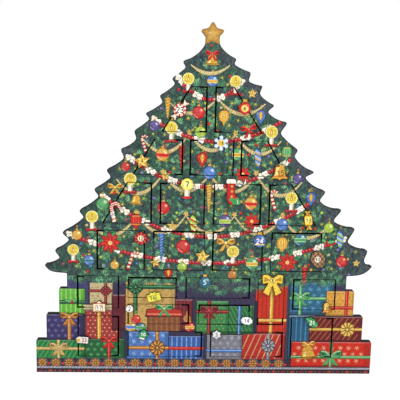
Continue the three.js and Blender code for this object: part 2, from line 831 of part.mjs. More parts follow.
function doorGeometry(door) {
  const blank = solidOf(plateGeometry(doorShape(door), DOOR_FRONT, DOOR_FRONT + DOOR_THICKNESS));
  const pins = pinRods(door, PIN_RADIUS, PIN_IN_DOOR + HINGE_GAP, PIN_IN_PANEL);
  return geometryOf(pins.reduce((whole, pin) => whole.add(pin), blank));
}

// The middle of a door's tab on the front
function tabPlace(door) {
  const { tab, level, left, right } = door;
  const inset = tab.inset * TAB_SIZE;
  if (tab.edge === "left" || tab.edge === "right") {
    const isLeft = tab.edge === "left";
    const foot = isLeft ? left : right;
    const top = (isLeft ? door.leftTop : door.rightTop) ?? foot;
    return [
      foot + (top - foot) * tab.up + (isLeft ? inset : -inset),
      level.sill + (level.head - level.sill) * tab.up,
    ];
  }
  const away = tab.away * (right - left);
  const x = tab.from === "left" ? left + away : right - away;
  return [x, tab.edge === "head" ? level.head - inset : level.sill + inset];
}

// A tab's outline at its full size
function tabShape(tab) {
  const corners = tab.outline.extractPoints(CURVE_STEPS).shape;
  return new THREE.Shape(corners.map((corner) => corner.clone().multiplyScalar(TAB_SIZE)));
}

function tabGeometry(door) {
  const [x, z] = tabPlace(door);
  const geometry = plateGeometry(tabShape(door.tab), DOOR_FRONT - TAB_THICKNESS, DOOR_FRONT);
  geometry.rotateY(-THREE.MathUtils.degToRad(door.tab.turn));
  geometry.translate(x, 0, z);
  return geometry;
}

// The front: the outline with its openings, and the blind holes of the pins drilled into their edges
function panelGeometry() {
  let panel = solidOf(plateGeometry(frontOutline(), PANEL_FRONT, PANEL_BACK));
  DOORS.forEach((door) => {
    const opening = roundedShape(openingCorners(door), 0);
    const depth = PIN_IN_PANEL + PIN_HOLE_EXTRA;
    const cuts = [
      solidOf(plateGeometry(opening, PANEL_FRONT - PROBE, PANEL_BACK + PROBE)),
      ...pinRods(door, PIN_RADIUS + PIN_CLEARANCE, HINGE_GAP, depth),
    ];
    panel = cuts.reduce((rest, cut) => rest.subtract(cut), panel);
  });
  return geometryOf(panel);
}

function doorNumbered(number) {
  return DOORS.find((door) => door.number === number);
}

// A board's middle line between two openings
function between(a, b) {
  return (a + b) / 2;
}

// Levels of the shelves' middles, and of the top board's and the lowest shelf's
const SHELF_TOP = ROW_1.head + TOP_COVER;
const SHELF_1 = between(ROW_1.sill, ROW_2.head);
const SHELF_2 = between(ROW_2.sill, ROW_3.head);
const SHELF_3 = between(ROW_3.sill, ROW_4.head);
const SHELF_4 = between(ROW_4.sill, LEFT_HIGH.head);
const SHELF_MID = between(MID_HIGH.sill, MID_MIDDLE.head);
const SHELF_LOW = between(MID_MIDDLE.sill, MID_LOW.head);
const SHELF_LEFT = between(LEFT_HIGH.sill, SIDE_LOW.head);
const SHELF_RIGHT = between(RIGHT_HIGH.sill, SIDE_LOW.head);
const PLINTH_TOP = MID_LOW.sill - PLINTH_DROP;

// A board seen from the front, as a closed outline between two points of its middle line, wide by
// the board's thickness across that line measured level or upright
function boardSolid(corners) {
  return solidOf(plateGeometry(roundedShape(corners, 0), PANEL_BACK, BACK_FRONT));
}

function shelfBoard(left, right, middle) {
  const low = middle - BOARD / 2;
  return boardSolid([[left, low], [right, low], [right, low + BOARD], [left, low + BOARD]]);
}

function uprightBoard(x, low, high) {
  return leaningBoard(x, x, low, high);
}

// An upright whose foot and head lie at different places across
function leaningBoard(footX, headX, low, high) {
  const half = (BOARD / 2) * Math.hypot(1, (headX - footX) / (high - low));
  return boardSolid([
    [footX - half, low],
    [footX + half, low],
    [headX + half, high],
    [headX - half, high],
  ]);
}

// The middle line of a side board at a level: clear of the opening's side by its cover
function outerX(door, side, z) {
  const { sill, head } = door.level;
  const foot = side < 0 ? door.left : door.right;
  const top = side < 0 ? door.leftTop : door.rightTop;
  if (top === undefined) return foot + side * (SIDE_COVER + BOARD / 2);
  const run = (top - foot) / (head - sill);
  return foot + run * (z - sill) + side * (SLOPE_COVER + BOARD / 2) * Math.hypot(1, run);
}

// Half of a board's width measured level where it leans as an opening's side does
function outerHalf(door, side) {
  const foot = side < 0 ? door.left : door.right;
  const top = (side < 0 ? door.leftTop : door.rightTop) ?? foot;
  return (BOARD / 2) * Math.hypot(1, (top - foot) / (door.level.head - door.level.sill));
}

// The uprights of one row between two levels: its two side boards and a divider behind each post
function rowUprights(doors, low, high) {
  const first = doors[0];
  const last = doors[doors.length - 1];
  const boards = [
    leaningBoard(outerX(first, -1, low), outerX(first, -1, high), low, high),
    leaningBoard(outerX(last, 1, low), outerX(last, 1, high), low, high),
  ];
  doors.slice(1).forEach((door, i) => {
    boards.push(uprightBoard(between(doors[i].right, door.left), low, high));
  });
  return boards;
}

function joined(boards) {
  return geometryOf(boards.reduce((whole, board) => whole.add(board)));
}

// A row's frame: the shelf under it with its uprights, and on the top row the board over it
function rowFrame(doors, shelf, above) {
  const low = shelf + BOARD / 2;
  const high = above - BOARD / 2;
  const first = doors[0];
  const last = doors[doors.length - 1];
  const left = outerX(first, -1, low) - outerHalf(first, -1);
  const right = outerX(last, 1, low) + outerHalf(last, 1);
  return { low, high, left, right, boards: rowUprights(doors, low, high) };
}

const ROW_1_DOORS = [23, 6].map(doorNumbered);
const ROW_2_DOORS = [4, 18, 15].map(doorNumbered);
const ROW_3_DOORS = [20, 7, 1, 13].map(doorNumbered);
const ROW_4_DOORS = [12, 9, 24, 11].map(doorNumbered);

// Places across of the boards of the lower compartments
const LEFT_SIDE = outerX(doorNumbered(17), -1, 0);
const LEFT_WALL = between(doorNumbered(22).right, doorNumbered(16).left);
const RIGHT_WALL = between(doorNumbered(8).right, doorNumbered(21).left);
const RIGHT_SIDE = outerX(doorNumbered(19), 1, 0);
const TALL_WALL = between(doorNumbered(14).right, doorNumbered(8).left);

function topRowFrame() {
  const frame = rowFrame(ROW_1_DOORS, SHELF_1, SHELF_TOP + BOARD / 2);
  const [first, last] = ROW_1_DOORS;
  const left = outerX(first, -1, frame.high) - outerHalf(first, -1);
  const right = outerX(last, 1, frame.high) + outerHalf(last, 1);
  return joined([
    shelfBoard(frame.left, frame.right, SHELF_1),
    shelfBoard(left, right, SHELF_TOP + BOARD / 2),
    ...frame.boards,
  ]);
}

function middleRowFrame(doors, shelf, above) {
  const frame = rowFrame(doors, shelf, above);
  return joined([shelfBoard(frame.left, frame.right, shelf), ...frame.boards]);
}

function wideRowFrame() {
  const frame = rowFrame(ROW_4_DOORS, SHELF_4, SHELF_3);
  return joined([
    shelfBoard(LEFT_SIDE - BOARD / 2, RIGHT_SIDE + BOARD / 2, SHELF_4),
    ...frame.boards,
  ]);
}

function sideFrame(outer, wall, shelf) {
  const low = PLINTH_TOP;
  const high = SHELF_4 - BOARD / 2;
  const [left, right] = [Math.min(outer, wall), Math.max(outer, wall)];
  return joined([
    uprightBoard(outer, low, high),
    uprightBoard(wall, low, high),
    shelfBoard(left, right, shelf),
  ]);
}

function lowerMiddleFrame() {
  const left = LEFT_WALL + BOARD / 2;
  const right = RIGHT_WALL - BOARD / 2;
  const high = SHELF_4 - BOARD / 2;
  const [high5, middle, low] = [
    between(doorNumbered(16).right, doorNumbered(5).left),
    between(doorNumbered(2).right, doorNumbered(14).left),
    between(doorNumbered(10).right, doorNumbered(3).left),
  ];
  return joined([
    shelfBoard(left, right, SHELF_LOW),
    shelfBoard(left, TALL_WALL, SHELF_MID),
    uprightBoard(TALL_WALL, SHELF_LOW, high),
    uprightBoard(high5, SHELF_MID, high),
    uprightBoard(middle, SHELF_LOW, SHELF_MID),
    uprightBoard(low, PLINTH_TOP, SHELF_LOW),
  ]);
}

function plinthGeometry() {
  const [left, right] = [LEFT_SIDE - BOARD / 2, RIGHT_SIDE + BOARD / 2];
  const corners = [[left, 0], [right, 0], [right, PLINTH_TOP], [left, PLINTH_TOP]];
  return plateGeometry(roundedShape(corners, 0), PANEL_BACK, BACK_FRONT);
}

// The back covers every frame: its outline steps in from row to row as they do
function backGeometry() {
  const sides = [];
  const step = (doors, low, high) => {
    const first = doors[0];
    const last = doors[doors.length - 1];
    [low, high].forEach((z) => {
      sides.push({
        z,
        left: outerX(first, -1, z) - outerHalf(first, -1),
        right: outerX(last, 1, z) + outerHalf(last, 1),
      });
    });
  };
  const lift = BOARD / 2;
  sides.push({ z: 0, left: LEFT_SIDE - lift, right: RIGHT_SIDE + lift });
  sides.push({ z: SHELF_4 + lift, left: LEFT_SIDE - lift, right: RIGHT_SIDE + lift });
  step(ROW_4_DOORS, SHELF_4 + lift, SHELF_3 + lift);
  step(ROW_3_DOORS, SHELF_3 + lift, SHELF_2 + lift);
  step(ROW_2_DOORS, SHELF_2 + lift, SHELF_1 + lift);
  step(ROW_1_DOORS, SHELF_1 + lift, SHELF_TOP + BOARD);
  const corners = [
    ...sides.map(({ z, right }) => [right, z]),
    ...sides.map(({ z, left }) => [left, z]).reverse(),
  ];
  return plateGeometry(roundedShape(corners, 0), BACK_FRONT, BACK_FRONT + BACK_THICKNESS);
}

function material(color, roughness = 0.6, metalness = 0) {
  return new THREE.MeshStandardMaterial({ color, roughness, metalness });
}

const FRONT_GREEN = material(0x47605a);
const DOOR_GREEN = material(0x52706a);
const PARCEL_RED = material(0xb23a2e);
const TAB_PAINT = material(0xd9a736, 0.45);
const BARE_WOOD = material(0xd8b98a, 0.75);
const BACK_BROWN = material(0x8a6544, 0.8);

function addPiece(group, name, geometry, finish) {
  const mesh = new THREE.Mesh(geometry, finish);
  mesh.name = name;
  group.add(mesh);
}

// A door and its tab share a group that stands on the door's pin line
function doorGroup(door) {
  const label = String(door.number).padStart(2, "0");
  const line = pinLine(door);
  const [x, y, z] = pinPoint(line, between(...line.ends));
  const group = new THREE.Group();
  group.position.set(x, y, z);
  const finish = door.level.head < ROW_4.sill ? PARCEL_RED : DOOR_GREEN;
  addPiece(group, `door_${label}`, doorGeometry(door).translate(-x, -y, -z), finish);
  addPiece(group, `number_tab_${label}`, tabGeometry(door).translate(-x, -y, -z), TAB_PAINT);
  return group;
}

const calendar = new THREE.Group();
addPiece(calendar, "front_panel", panelGeometry(), FRONT_GREEN);
addPiece(calendar, "row_1_frame", topRowFrame(), BARE_WOOD);
addPiece(calendar, "row_2_frame", middleRowFrame(ROW_2_DOORS, SHELF_2, SHELF_1), BARE_WOOD);
addPiece(calendar, "row_3_frame", middleRowFrame(ROW_3_DOORS, SHELF_3, SHELF_2), BARE_WOOD);
addPiece(calendar, "row_4_frame", wideRowFrame(), BARE_WOOD);
addPiece(calendar, "lower_left_frame", sideFrame(LEFT_SIDE, LEFT_WALL, SHELF_LEFT), BARE_WOOD);
addPiece(calendar, "lower_middle_frame", lowerMiddleFrame(), BARE_WOOD);
addPiece(calendar, "lower_right_frame", sideFrame(RIGHT_SIDE, RIGHT_WALL, SHELF_RIGHT), BARE_WOOD);
addPiece(calendar, "plinth", plinthGeometry(), BARE_WOOD);
addPiece(calendar, "back_panel", backGeometry(), BACK_BROWN);
DOORS.forEach((door) => calendar.add(doorGroup(door)));

export default calendar;
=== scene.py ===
# %% [markdown]
# # A printed tree advent calendar
# The real thing is a flat board with a printed sheet glued on it. Twenty-four doors are sawn out of
# the board, print and all, and every door carries a small thick tab with its number. The packed
# model gives the boards. This lesson adds what is printed, the bare edges of the boards, the frames
# of the compartments, and the small steel parts.

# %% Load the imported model
import json
import math
import random

import bmesh
import bpy
from mathutils import Matrix, Vector
from mathutils.geometry import delaunay_2d_cdt


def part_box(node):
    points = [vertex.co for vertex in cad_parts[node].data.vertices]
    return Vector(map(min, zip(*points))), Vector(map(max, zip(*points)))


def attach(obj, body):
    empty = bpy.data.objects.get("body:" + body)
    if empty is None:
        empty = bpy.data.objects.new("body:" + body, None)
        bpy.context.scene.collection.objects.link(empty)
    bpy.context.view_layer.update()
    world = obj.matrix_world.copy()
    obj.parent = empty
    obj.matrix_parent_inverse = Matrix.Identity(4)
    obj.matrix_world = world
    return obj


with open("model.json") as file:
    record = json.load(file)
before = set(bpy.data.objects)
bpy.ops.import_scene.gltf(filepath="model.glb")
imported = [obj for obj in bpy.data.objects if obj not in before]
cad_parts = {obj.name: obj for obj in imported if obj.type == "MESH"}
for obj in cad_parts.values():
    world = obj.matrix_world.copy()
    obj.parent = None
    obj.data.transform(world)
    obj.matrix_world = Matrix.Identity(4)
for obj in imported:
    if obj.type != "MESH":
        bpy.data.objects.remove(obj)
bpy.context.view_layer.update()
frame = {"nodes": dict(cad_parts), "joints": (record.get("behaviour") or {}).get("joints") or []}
nodes = frame["nodes"]
BOX = "calendar_box"
MM = 0.001


def placed(name, data):
    """A new object in the scene."""
    made = bpy.data.objects.new(name, data)
    bpy.context.scene.collection.objects.link(made)
    return made


# %% [markdown]
# ## The camera
# The photograph was taken from a little left of the middle and from above, with a normal lens. The
# straight edges of the front gave the angles. Yaw turns the camera to the right, pitch tips it
# down, and roll tilts the picture. They could be set as three object rotations, but building the
# matrix from the view direction keeps the order of the turns plain.

# %% Camera
PICTURE_PIXELS, FOCAL_PIXELS, SENSOR = 400, 650, 36.0
YAW, PITCH, ROLL = (math.radians(a) for a in (2.288, -8.927, 1.254))
STANDPOINT = Vector((-45.7, -870.75, 375.0)) * MM

ahead = Vector((math.sin(YAW) * math.cos(PITCH), math.cos(YAW) * math.cos(PITCH), math.sin(PITCH)))
level_right = Vector((math.cos(YAW), -math.sin(YAW), 0))
level_up = level_right.cross(ahead)
right = math.cos(ROLL) * level_right + math.sin(ROLL) * level_up
up = -math.sin(ROLL) * level_right + math.cos(ROLL) * level_up

lens = bpy.data.cameras.new("camera")
lens.sensor_width = SENSOR
lens.lens = FOCAL_PIXELS / PICTURE_PIXELS * SENSOR
camera = placed("camera", lens)
camera.matrix_world = Matrix((right, up, -ahead)).transposed().to_4x4()
camera.location = STANDPOINT
bpy.context.scene.camera = camera
print("lens in mm:", round(lens.lens, 1))

# %% [markdown]
# ## Colours and node helpers
# Colours are picked the way a painter names them, as web colours, and turned into the linear values
# that Blender mixes in. A small helper adds nodes and wires their inputs in one call, so that each
# material below reads as a short recipe.

# %% Helpers for colours and nodes


def hue(colour):
    """Linear red, green, blue and alpha, from a web colour such as #a0b0c0, a grey level or themselves."""
    if isinstance(colour, tuple):
        return colour
    if isinstance(colour, float):
        return (colour, colour, colour, 1.0)
    levels = [int(colour[i:i + 2], 16) / 255 for i in (1, 3, 5)]
    return tuple(c / 12.92 if c <= 0.04045 else ((c + 0.055) / 1.055) ** 2.4 for c in levels) + (1.0,)


def wire(node, inputs):
    """Fills inputs, each with a value, another node's output, or a node, whose first output is meant."""
    for key, value in inputs.items():
        if isinstance(value, bpy.types.Node):
            value = value.outputs[0]
        if isinstance(value, bpy.types.NodeSocket):
            node.id_data.links.new(value, node.inputs[key])
        else:
            node.inputs[key].default_value = value
    return node


def add(tree, kind, inputs=None, **settings):
    """A node with its settings and inputs."""
    node = tree.nodes.new(tree.bl_idname.replace("Tree", "") + kind)
    for key, value in settings.items():
        setattr(node, key, value)
    return wire(node, inputs or {})


def new_material(name):
    """A new material with its tree, its shader, and the coordinates to draw on."""
    material = bpy.data.materials.new(name)
    material.use_nodes = True
    tree = material.node_tree
    return material, tree, tree.nodes["Principled BSDF"], add(tree, "TexCoord").outputs


def noise(tree, place, scale, detail, rough=0.5):
    return add(tree, "TexNoise", {"Vector": place, "Scale": scale, "Detail": detail, "Roughness": rough})


def stretched(tree, place, scale):
    return add(tree, "Mapping", {"Vector": place, "Scale": scale})


def ramp(tree, factor, *stops):
    """A colour ramp over a factor, from (place, colour) stops."""
    node = add(tree, "ValToRGB", {"Fac": factor})
    elements = node.color_ramp.elements
    while len(elements) < len(stops):
        elements.new(1.0)
    for element, (place, colour) in zip(elements, stops):
        element.position, element.color = place, hue(colour)
    return node


def mixed(tree, factor, first, second, blend="MIX"):
    """Two colours mixed by a factor."""
    return add(tree, "Mix", {0: factor, 6: first, 7: second}, data_type="RGBA", blend_type=blend).outputs[2]


def span(tree, value, low, high):
    """A value from 0 to 1, brought between two others."""
    return add(tree, "MapRange", {"Value": value, "To Min": low, "To Max": high})


def bump(tree, height, strength, distance):
    return add(tree, "Bump", {"Height": height, "Strength": strength, "Distance": distance})


print("mid grey of a screen, as light:", round(hue("#808080")[0], 3))

# %% [markdown]
# ## The printed paper
# The print's colours are stored on the mesh itself, in a colour attribute, so the shader only has to
# add what ink on coated paper shows close up: slightly uneven ink, brushed strokes, and a satin
# coat that is a little rougher where the ink lies thick. The strokes are noise drawn out along one
# axis and bent by a softer noise. An attribute called foliage says where they are needles.

# %% Printed paper


def strokes_of(tree, place, scale, reach):
    """Noise drawn out into short strokes, turned this way and that by a softer noise."""
    drift = noise(tree, place, 60.0, 2.0).outputs["Color"]
    sway = add(tree, "VectorMath", {0: drift, "Scale": reach}, operation="SCALE")
    bent = add(tree, "VectorMath", {0: place, 1: sway}, operation="ADD")
    return noise(tree, stretched(tree, bent, scale), 1.0, 3.0)


def printed_paper():
    material, tree, shader, coordinates = new_material("printed_paper")
    place = coordinates["Object"]
    ink = add(tree, "Attribute", attribute_name="ink")
    foliage = add(tree, "Attribute", attribute_name="foliage").outputs["Fac"]
    # Light green strokes over slate ones for needles, thin dark hatching for everything else
    needles = ramp(tree, strokes_of(tree, place, (470.0, 470.0, 150.0), 0.03), (0.36, (0.46, 0.5, 0.52, 1.0)),
                   (0.5, (0.95, 1.0, 0.95, 1.0)), (0.62, (1.65, 2.0, 1.45, 1.0)))
    strokes = strokes_of(tree, place, (300.0, 300.0, 900.0), 0.012)
    hatch = ramp(tree, strokes, (0.32, 0.6), (0.5, 0.96), (0.7, 1.12))
    # Ink that took unevenly on the paper
    blotch = noise(tree, place, 240.0, 4.0, 0.65)
    inked = mixed(tree, 1.0, ink, mixed(tree, foliage, hatch, needles), "MULTIPLY")
    blotches = ramp(tree, blotch, (0.25, 0.86), (0.75, 1.1))
    wire(shader, {"Base Color": mixed(tree, 1.0, inked, blotches, "MULTIPLY"),
                  "Roughness": span(tree, blotch, 0.42, 0.6), "Specular IOR Level": 0.3,
                  "Normal": bump(tree, noise(tree, place, 1500.0, 2.0), 0.12, 0.0001)})
    return material


PAPER = printed_paper()
print("material:", PAPER.name)

# %% [markdown]
# ## Bare boards, hardboard and steel
# The doors and the front are fibreboard. Their sawn edges were stained dark, and their backs are raw.
# One material can serve both, because the edges face sideways and the backs face along Y: the
# object-space normal tells them apart. The frames are thin bare board with a faint straight grain,
# and the back is hardboard with specks and a rubbed sheen.

# %% Fibreboard, bare board, hardboard and steel


def fibreboard():
    material, tree, shader, coordinates = new_material("fibreboard")
    specks = noise(tree, coordinates["Object"], 900.0, 6.0, 0.7)
    raw = ramp(tree, specks, (0.3, "#8a6a48"), (0.55, "#b08d64"), (0.8, "#caa97e"))
    layers = noise(tree, stretched(tree, coordinates["Object"], (300.0, 1800.0, 300.0)), 1.0, 5.0)
    stained = ramp(tree, layers, (0.3, "#070606"), (0.6, "#120f0d"), (0.85, "#241d18"))
    facing = add(tree, "SeparateXYZ", {"Vector": coordinates["Normal"]}).outputs["Y"]
    rear = add(tree, "Math", {0: facing, 1: 0.5}, operation="GREATER_THAN")
    wire(shader, {"Base Color": mixed(tree, rear, stained, raw), "Roughness": 0.86, "Specular IOR Level": 0.2,
                  "Normal": bump(tree, specks, 0.35, 0.0003)})
    return material


def bare_board():
    material, tree, shader, coordinates = new_material("bare_board")
    place = coordinates["Object"]
    warp = noise(tree, place, 14.0, 3.0).outputs["Color"]
    squeezed = stretched(tree, place, (420.0, 18.0, 420.0))
    grain = noise(tree, add(tree, "VectorMath", {0: squeezed, 1: warp}, operation="ADD"), 1.0, 6.0, 0.6)
    wire(shader, {"Base Color": ramp(tree, grain, (0.25, "#b58a58"), (0.5, "#d3ac78"), (0.8, "#e4c595")),
                  "Roughness": 0.7, "Normal": bump(tree, grain, 0.25, 0.0003)})
    return material


def hardboard():
    material, tree, shader, coordinates = new_material("hardboard")
    clouds = noise(tree, coordinates["Object"], 26.0, 5.0, 0.6)
    specks = noise(tree, coordinates["Object"], 1300.0, 4.0, 0.75)
    flecks = ramp(tree, specks, (0.35, 0.6), (0.6, 1.0), (0.75, 1.25))
    board = mixed(tree, 1.0, ramp(tree, clouds, (0.3, "#7a5434"), (0.7, "#946b45")), flecks, "MULTIPLY")
    wire(shader, {"Base Color": board, "Roughness": 0.55, "Normal": bump(tree, specks, 0.3, 0.0002)})
    return material


def steel(name, dull, clean):
    material, tree, shader, coordinates = new_material(name)
    smears = noise(tree, coordinates["Object"], 600.0, 4.0)
    wire(shader, {"Base Color": ramp(tree, smears, (0.3, dull), (0.7, clean)),
                  "Roughness": span(tree, smears, 0.22, 0.42), "Metallic": 1.0})
    return material


FIBREBOARD, BARE_BOARD, HARDBOARD = fibreboard(), bare_board(), hardboard()
STEEL = steel("bright_steel", "#8f8d88", "#c9c7c1")
BLACK_STEEL = steel("black_steel", "#18181a", "#333336")

for name in nodes:
    sawn = name.startswith(("door_", "number_tab_", "front_panel"))
    finish = FIBREBOARD if sawn else HARDBOARD if name == "back_panel" else BARE_BOARD
    nodes[name].data.materials.clear()
    nodes[name].data.materials.append(finish)
print("finished nodes:", len(nodes))

# %% [markdown]
# ## Where the print lies
# The paper was glued on before the doors were sawn out, so its outline is exactly the board's. It
# could be drawn again from the sizes, but reading the front faces of each solid is safer: a face that
# looks along -Y at the front is paper's ground, and an edge that only one such face has is its rim.
# The nails of the back follow the rim of the rear face, which is read in the same way.

# %% Read the rims of the boards
ROUND = 4
FRONT, REAR = -1, 1


def area(loop):
    return sum(a[0] * b[1] - b[0] * a[1] for a, b in zip(loop, loop[1:] + loop[:1])) / 2


def rims_of(faces):
    """Closed runs of the edges that only one face has."""
    edges = {}
    for corners in faces:
        for a, b in zip(corners, corners[1:] + corners[:1]):
            if (b, a) in edges:
                del edges[(b, a)]
            else:
                edges[(a, b)] = True
    after = {}
    for a, b in edges:
        after.setdefault(a, []).append(b)
    loops = []
    while after:
        point = next(iter(after))
        loop = []
        while not loop or point != loop[0]:
            loop.append(point)
            follow = after[point].pop()
            if not after[point]:
                del after[point]
            point = follow
        loops.append(loop)
    return loops


def board_loops(name, side=FRONT):
    """The rims of a node's front or rear face as lists of (x, z) in mm, the outer rim first, and its Y."""
    mesh = nodes[name].data
    level = max(side * v.co.y for v in mesh.vertices)
    faces = []
    for face in mesh.polygons:
        corners = [mesh.vertices[i].co for i in face.vertices]
        if min(side * c.y for c in corners) >= level - 0.05 * MM:
            faces.append([(round(c.x / MM, ROUND), round(c.z / MM, ROUND)) for c in corners])
    return sorted(rims_of(faces), key=lambda loop: -abs(area(loop))), side * level


PANEL_LOOPS = board_loops("front_panel")[0]
OUTLINE = PANEL_LOOPS[0]


def flanks(z):
    """The left and right edge of the front board at a height, in mm."""
    hits = []
    for (x0, z0), (x1, z1) in zip(OUTLINE, OUTLINE[1:] + OUTLINE[:1]):
        if (z0 - z) * (z1 - z) < 0:
            hits.append(x0 + (x1 - x0) * (z - z0) / (z1 - z0))
    return min(hits), max(hits)


print("rims of the front:", len(PANEL_LOOPS), "corners of the outline:", len(OUTLINE))

# %% [markdown]
# ## Painting with flat shapes
# A print could be an image, but flat coloured shapes stay sharp at any size and are cut cleanly where
# a door is sawn out. The picture is a list of outlines with a colour each, painted in order, so that
# a later one covers an earlier one. These helpers draw the shapes that everything else is made of.
# A motif is drawn round its own middle in units of its size, and put at a place: x, z, turn, size.

# %% Brushes
picture = []
brush = {"layer": picture}


def paint(points, colour, foliage=0.0):
    """Adds one flat shape to the layer that is being painted."""
    points = [(float(x), float(z)) for x, z in points]
    if area(points) < 0:
        points.reverse()
    brush["layer"].append((points, hue(colour), foliage))


def rect(x0, x1, z0, z1, colour):
    paint([(x0, z0), (x1, z0), (x1, z1), (x0, z1)], colour)


def disc(x, z, r, colour, steps=14, wide=1.0, turn=0.0):
    c, s = math.cos(turn), math.sin(turn)
    points = []
    for i in range(steps):
        a = 2 * math.pi * i / steps
        u, v = r * wide * math.cos(a), r * math.sin(a)
        points.append((x + c * u - s * v, z + s * u + c * v))
    paint(points, colour)


def discs(x, z, *rings, steps=14):
    """Discs on one middle, from (radius, colour) pairs."""
    for r, colour in rings:
        disc(x, z, r, colour, steps)


def stroke(path, width, colour):
    """A line of one width, or of a width for each point, painted piece by piece."""
    widths = width if isinstance(width, (list, tuple)) else [width] * len(path)
    for (a, b), (wa, wb) in zip(zip(path, path[1:]), zip(widths, widths[1:])):
        dx, dz = b[0] - a[0], b[1] - a[1]
        length = math.hypot(dx, dz) or 1.0
        nx, nz = -dz / length / 2, dx / length / 2
        paint([(a[0] - nx * wa, a[1] - nz * wa), (b[0] - nx * wb, b[1] - nz * wb),
               (b[0] + nx * wb, b[1] + nz * wb), (a[0] + nx * wa, a[1] + nz * wa)], colour)


def turned(points, x, z, turn=0.0, size=1.0):
    """Points drawn round their own middle, turned, scaled and moved to a place."""
    c, s = math.cos(turn), math.sin(turn)
    return [(x + size * (c * u - s * v), z + size * (s * u + c * v)) for u, v in points]


def put(points, at, colour):
    paint(turned(points, *at), colour)


def pen(points, at, width, colour):
    """A line at a place, its width given in units of the size."""
    stroke(turned(points, *at), at[3] * width, colour)


def rimmed(points, at, dark, main, share=0.88):
    """A dark shape, and over it the same a little smaller in its main colour."""
    x, z, turn, size = at
    put(points, at, dark)
    put(points, (x, z, turn, size * share), main)


def mirrored(half):
    """Points down the right side, and back up the left."""
    return half + [(-u, v) for u, v in reversed(half)]


def arc(x, z, r, start, end, steps=8):
    """Points on an arc between two angles in degrees."""
    angles = [math.radians(start + (end - start) * i / steps) for i in range(steps + 1)]
    return [(x + r * math.cos(a), z + r * math.sin(a)) for a in angles]


def lighter(web, share):
    return tuple(c + (1 - c) * share for c in hue(web)[:3]) + (1.0,)


def darker(web, share):
    return tuple(c * (1 - share) for c in hue(web)[:3]) + (1.0,)


print("painted so far:", len(picture), "shapes")

# %% [markdown]
# ## Numbers
# The tabs carry plain numbers. A typeface would bring its own outlines, so the ten figures are
# written as a few pen strokes each, in a box one unit high.

# %% Figures drawn with a pen
FIGURES = [
    [(0.3, 1), (0.08, 0.75), (0.05, 0.3), (0.3, 0), (0.55, 0.28), (0.57, 0.75), (0.3, 1)],
    [(0.12, 0.78), (0.36, 1), (0.36, 0)],
    [(0.05, 0.76), (0.16, 0.96), (0.4, 1), (0.57, 0.8), (0.46, 0.5), (0.05, 0), (0.6, 0)],
    [(0.04, 0.9), (0.3, 1), (0.55, 0.85), (0.5, 0.63), (0.22, 0.54), (0.54, 0.44), (0.6, 0.2), (0.34, 0),
     (0.02, 0.1)],
    [(0.46, 0), (0.46, 1), (0.02, 0.32), (0.64, 0.32)],
    [(0.56, 1), (0.12, 1), (0.1, 0.57), (0.42, 0.6), (0.6, 0.32), (0.38, 0), (0.04, 0.06)],
    [(0.52, 0.98), (0.2, 0.72), (0.06, 0.3), (0.28, 0), (0.56, 0.16), (0.5, 0.46), (0.08, 0.36)],
    [(0.04, 1), (0.6, 1), (0.26, 0)],
    [(0.32, 0.54), (0.1, 0.76), (0.32, 1), (0.54, 0.76), (0.32, 0.54), (0.06, 0.26), (0.32, 0), (0.58, 0.26),
     (0.32, 0.54)],
    [(0.12, 0.02), (0.44, 0.28), (0.57, 0.7), (0.34, 1), (0.1, 0.82), (0.18, 0.52), (0.54, 0.62)],
]
ADVANCE, LAST_GAP = 0.76, 0.12


def number(n, x, z, height, colour, width=0.18, turn=0.0):
    """A number centred on a place."""
    wide = ADVANCE * len(str(n)) - LAST_GAP
    for i, figure in enumerate(str(n)):
        points = [(u + ADVANCE * i - wide / 2, v - 0.5) for u, v in FIGURES[int(figure)]]
        stroke(turned(points, x, z, turn, height), width * height, colour)


print("figures:", len(FIGURES))

# %% [markdown]
# ## Motifs of the tree
# Everything that hangs on the tree is a common old ornament: glass balls, drops, icicles, candles on
# clips, stars, canes and bows. Each one is a function of its place, size and colours, with a dark
# rim, a body, a lighter side and a glint, which is how a painter makes a flat shape look round.

# %% Glass ornaments
PAINTS = {name: colours for name, *colours in (
    ("gold", "#d3a03a", "#efd77e", "#7d5319"), ("red", "#c2201c", "#e0614f", "#5c0f12"),
    ("blue", "#4674b8", "#9dbde4", "#21335f"), ("green", "#4f9a5b", "#a9d49c", "#1a4c34"),
    ("lime", "#9fbf3a", "#d8e48c", "#4f6a1c"), ("teal", "#2b6a7b", "#82b4c0", "#133342"),
    ("purple", "#51447f", "#9a8fc2", "#251e42"), ("tan", "#c2a160", "#dfc58b", "#7d6134"),
    ("silver", "#83838a", "#bcbec6", "#3d3c45"), ("forest", "#1c5435", "#4f9462", "#0e2a19"),
    ("orange", "#b9742c", "#dfae62", "#5a300e"), ("crimson", "#7d1824", "#b9524c", "#3d0a12"))}
GOLD, GOLD_LIGHT, GOLD_DARK = PAINTS["gold"]
RED, RED_LIGHT, RED_DARK = PAINTS["red"]
GREEN_LIGHT, GREEN_DARK = PAINTS["green"][1:]
CREAM, INK = "#e9dfc6", "#1c1a1c"


def hook(x, z, size):
    """A curl of gold wire that an ornament hangs by."""
    stroke(turned([(0, 0), (0.3, 0.5), (-0.25, 0.9), (0.1, 1.35), (0.45, 1.1)], x, z, 0.0, size), 0.55, GOLD)


def belt(x, z, r, low, high, colour):
    """The part of a ball between two heights, given as shares of its radius."""
    a, b = math.asin(low), math.asin(high)
    angles = [a + (b - a) * i / 4 for i in range(5)]
    put(mirrored([(math.cos(t), math.sin(t)) for t in angles]), (x, z, 0, r), colour)


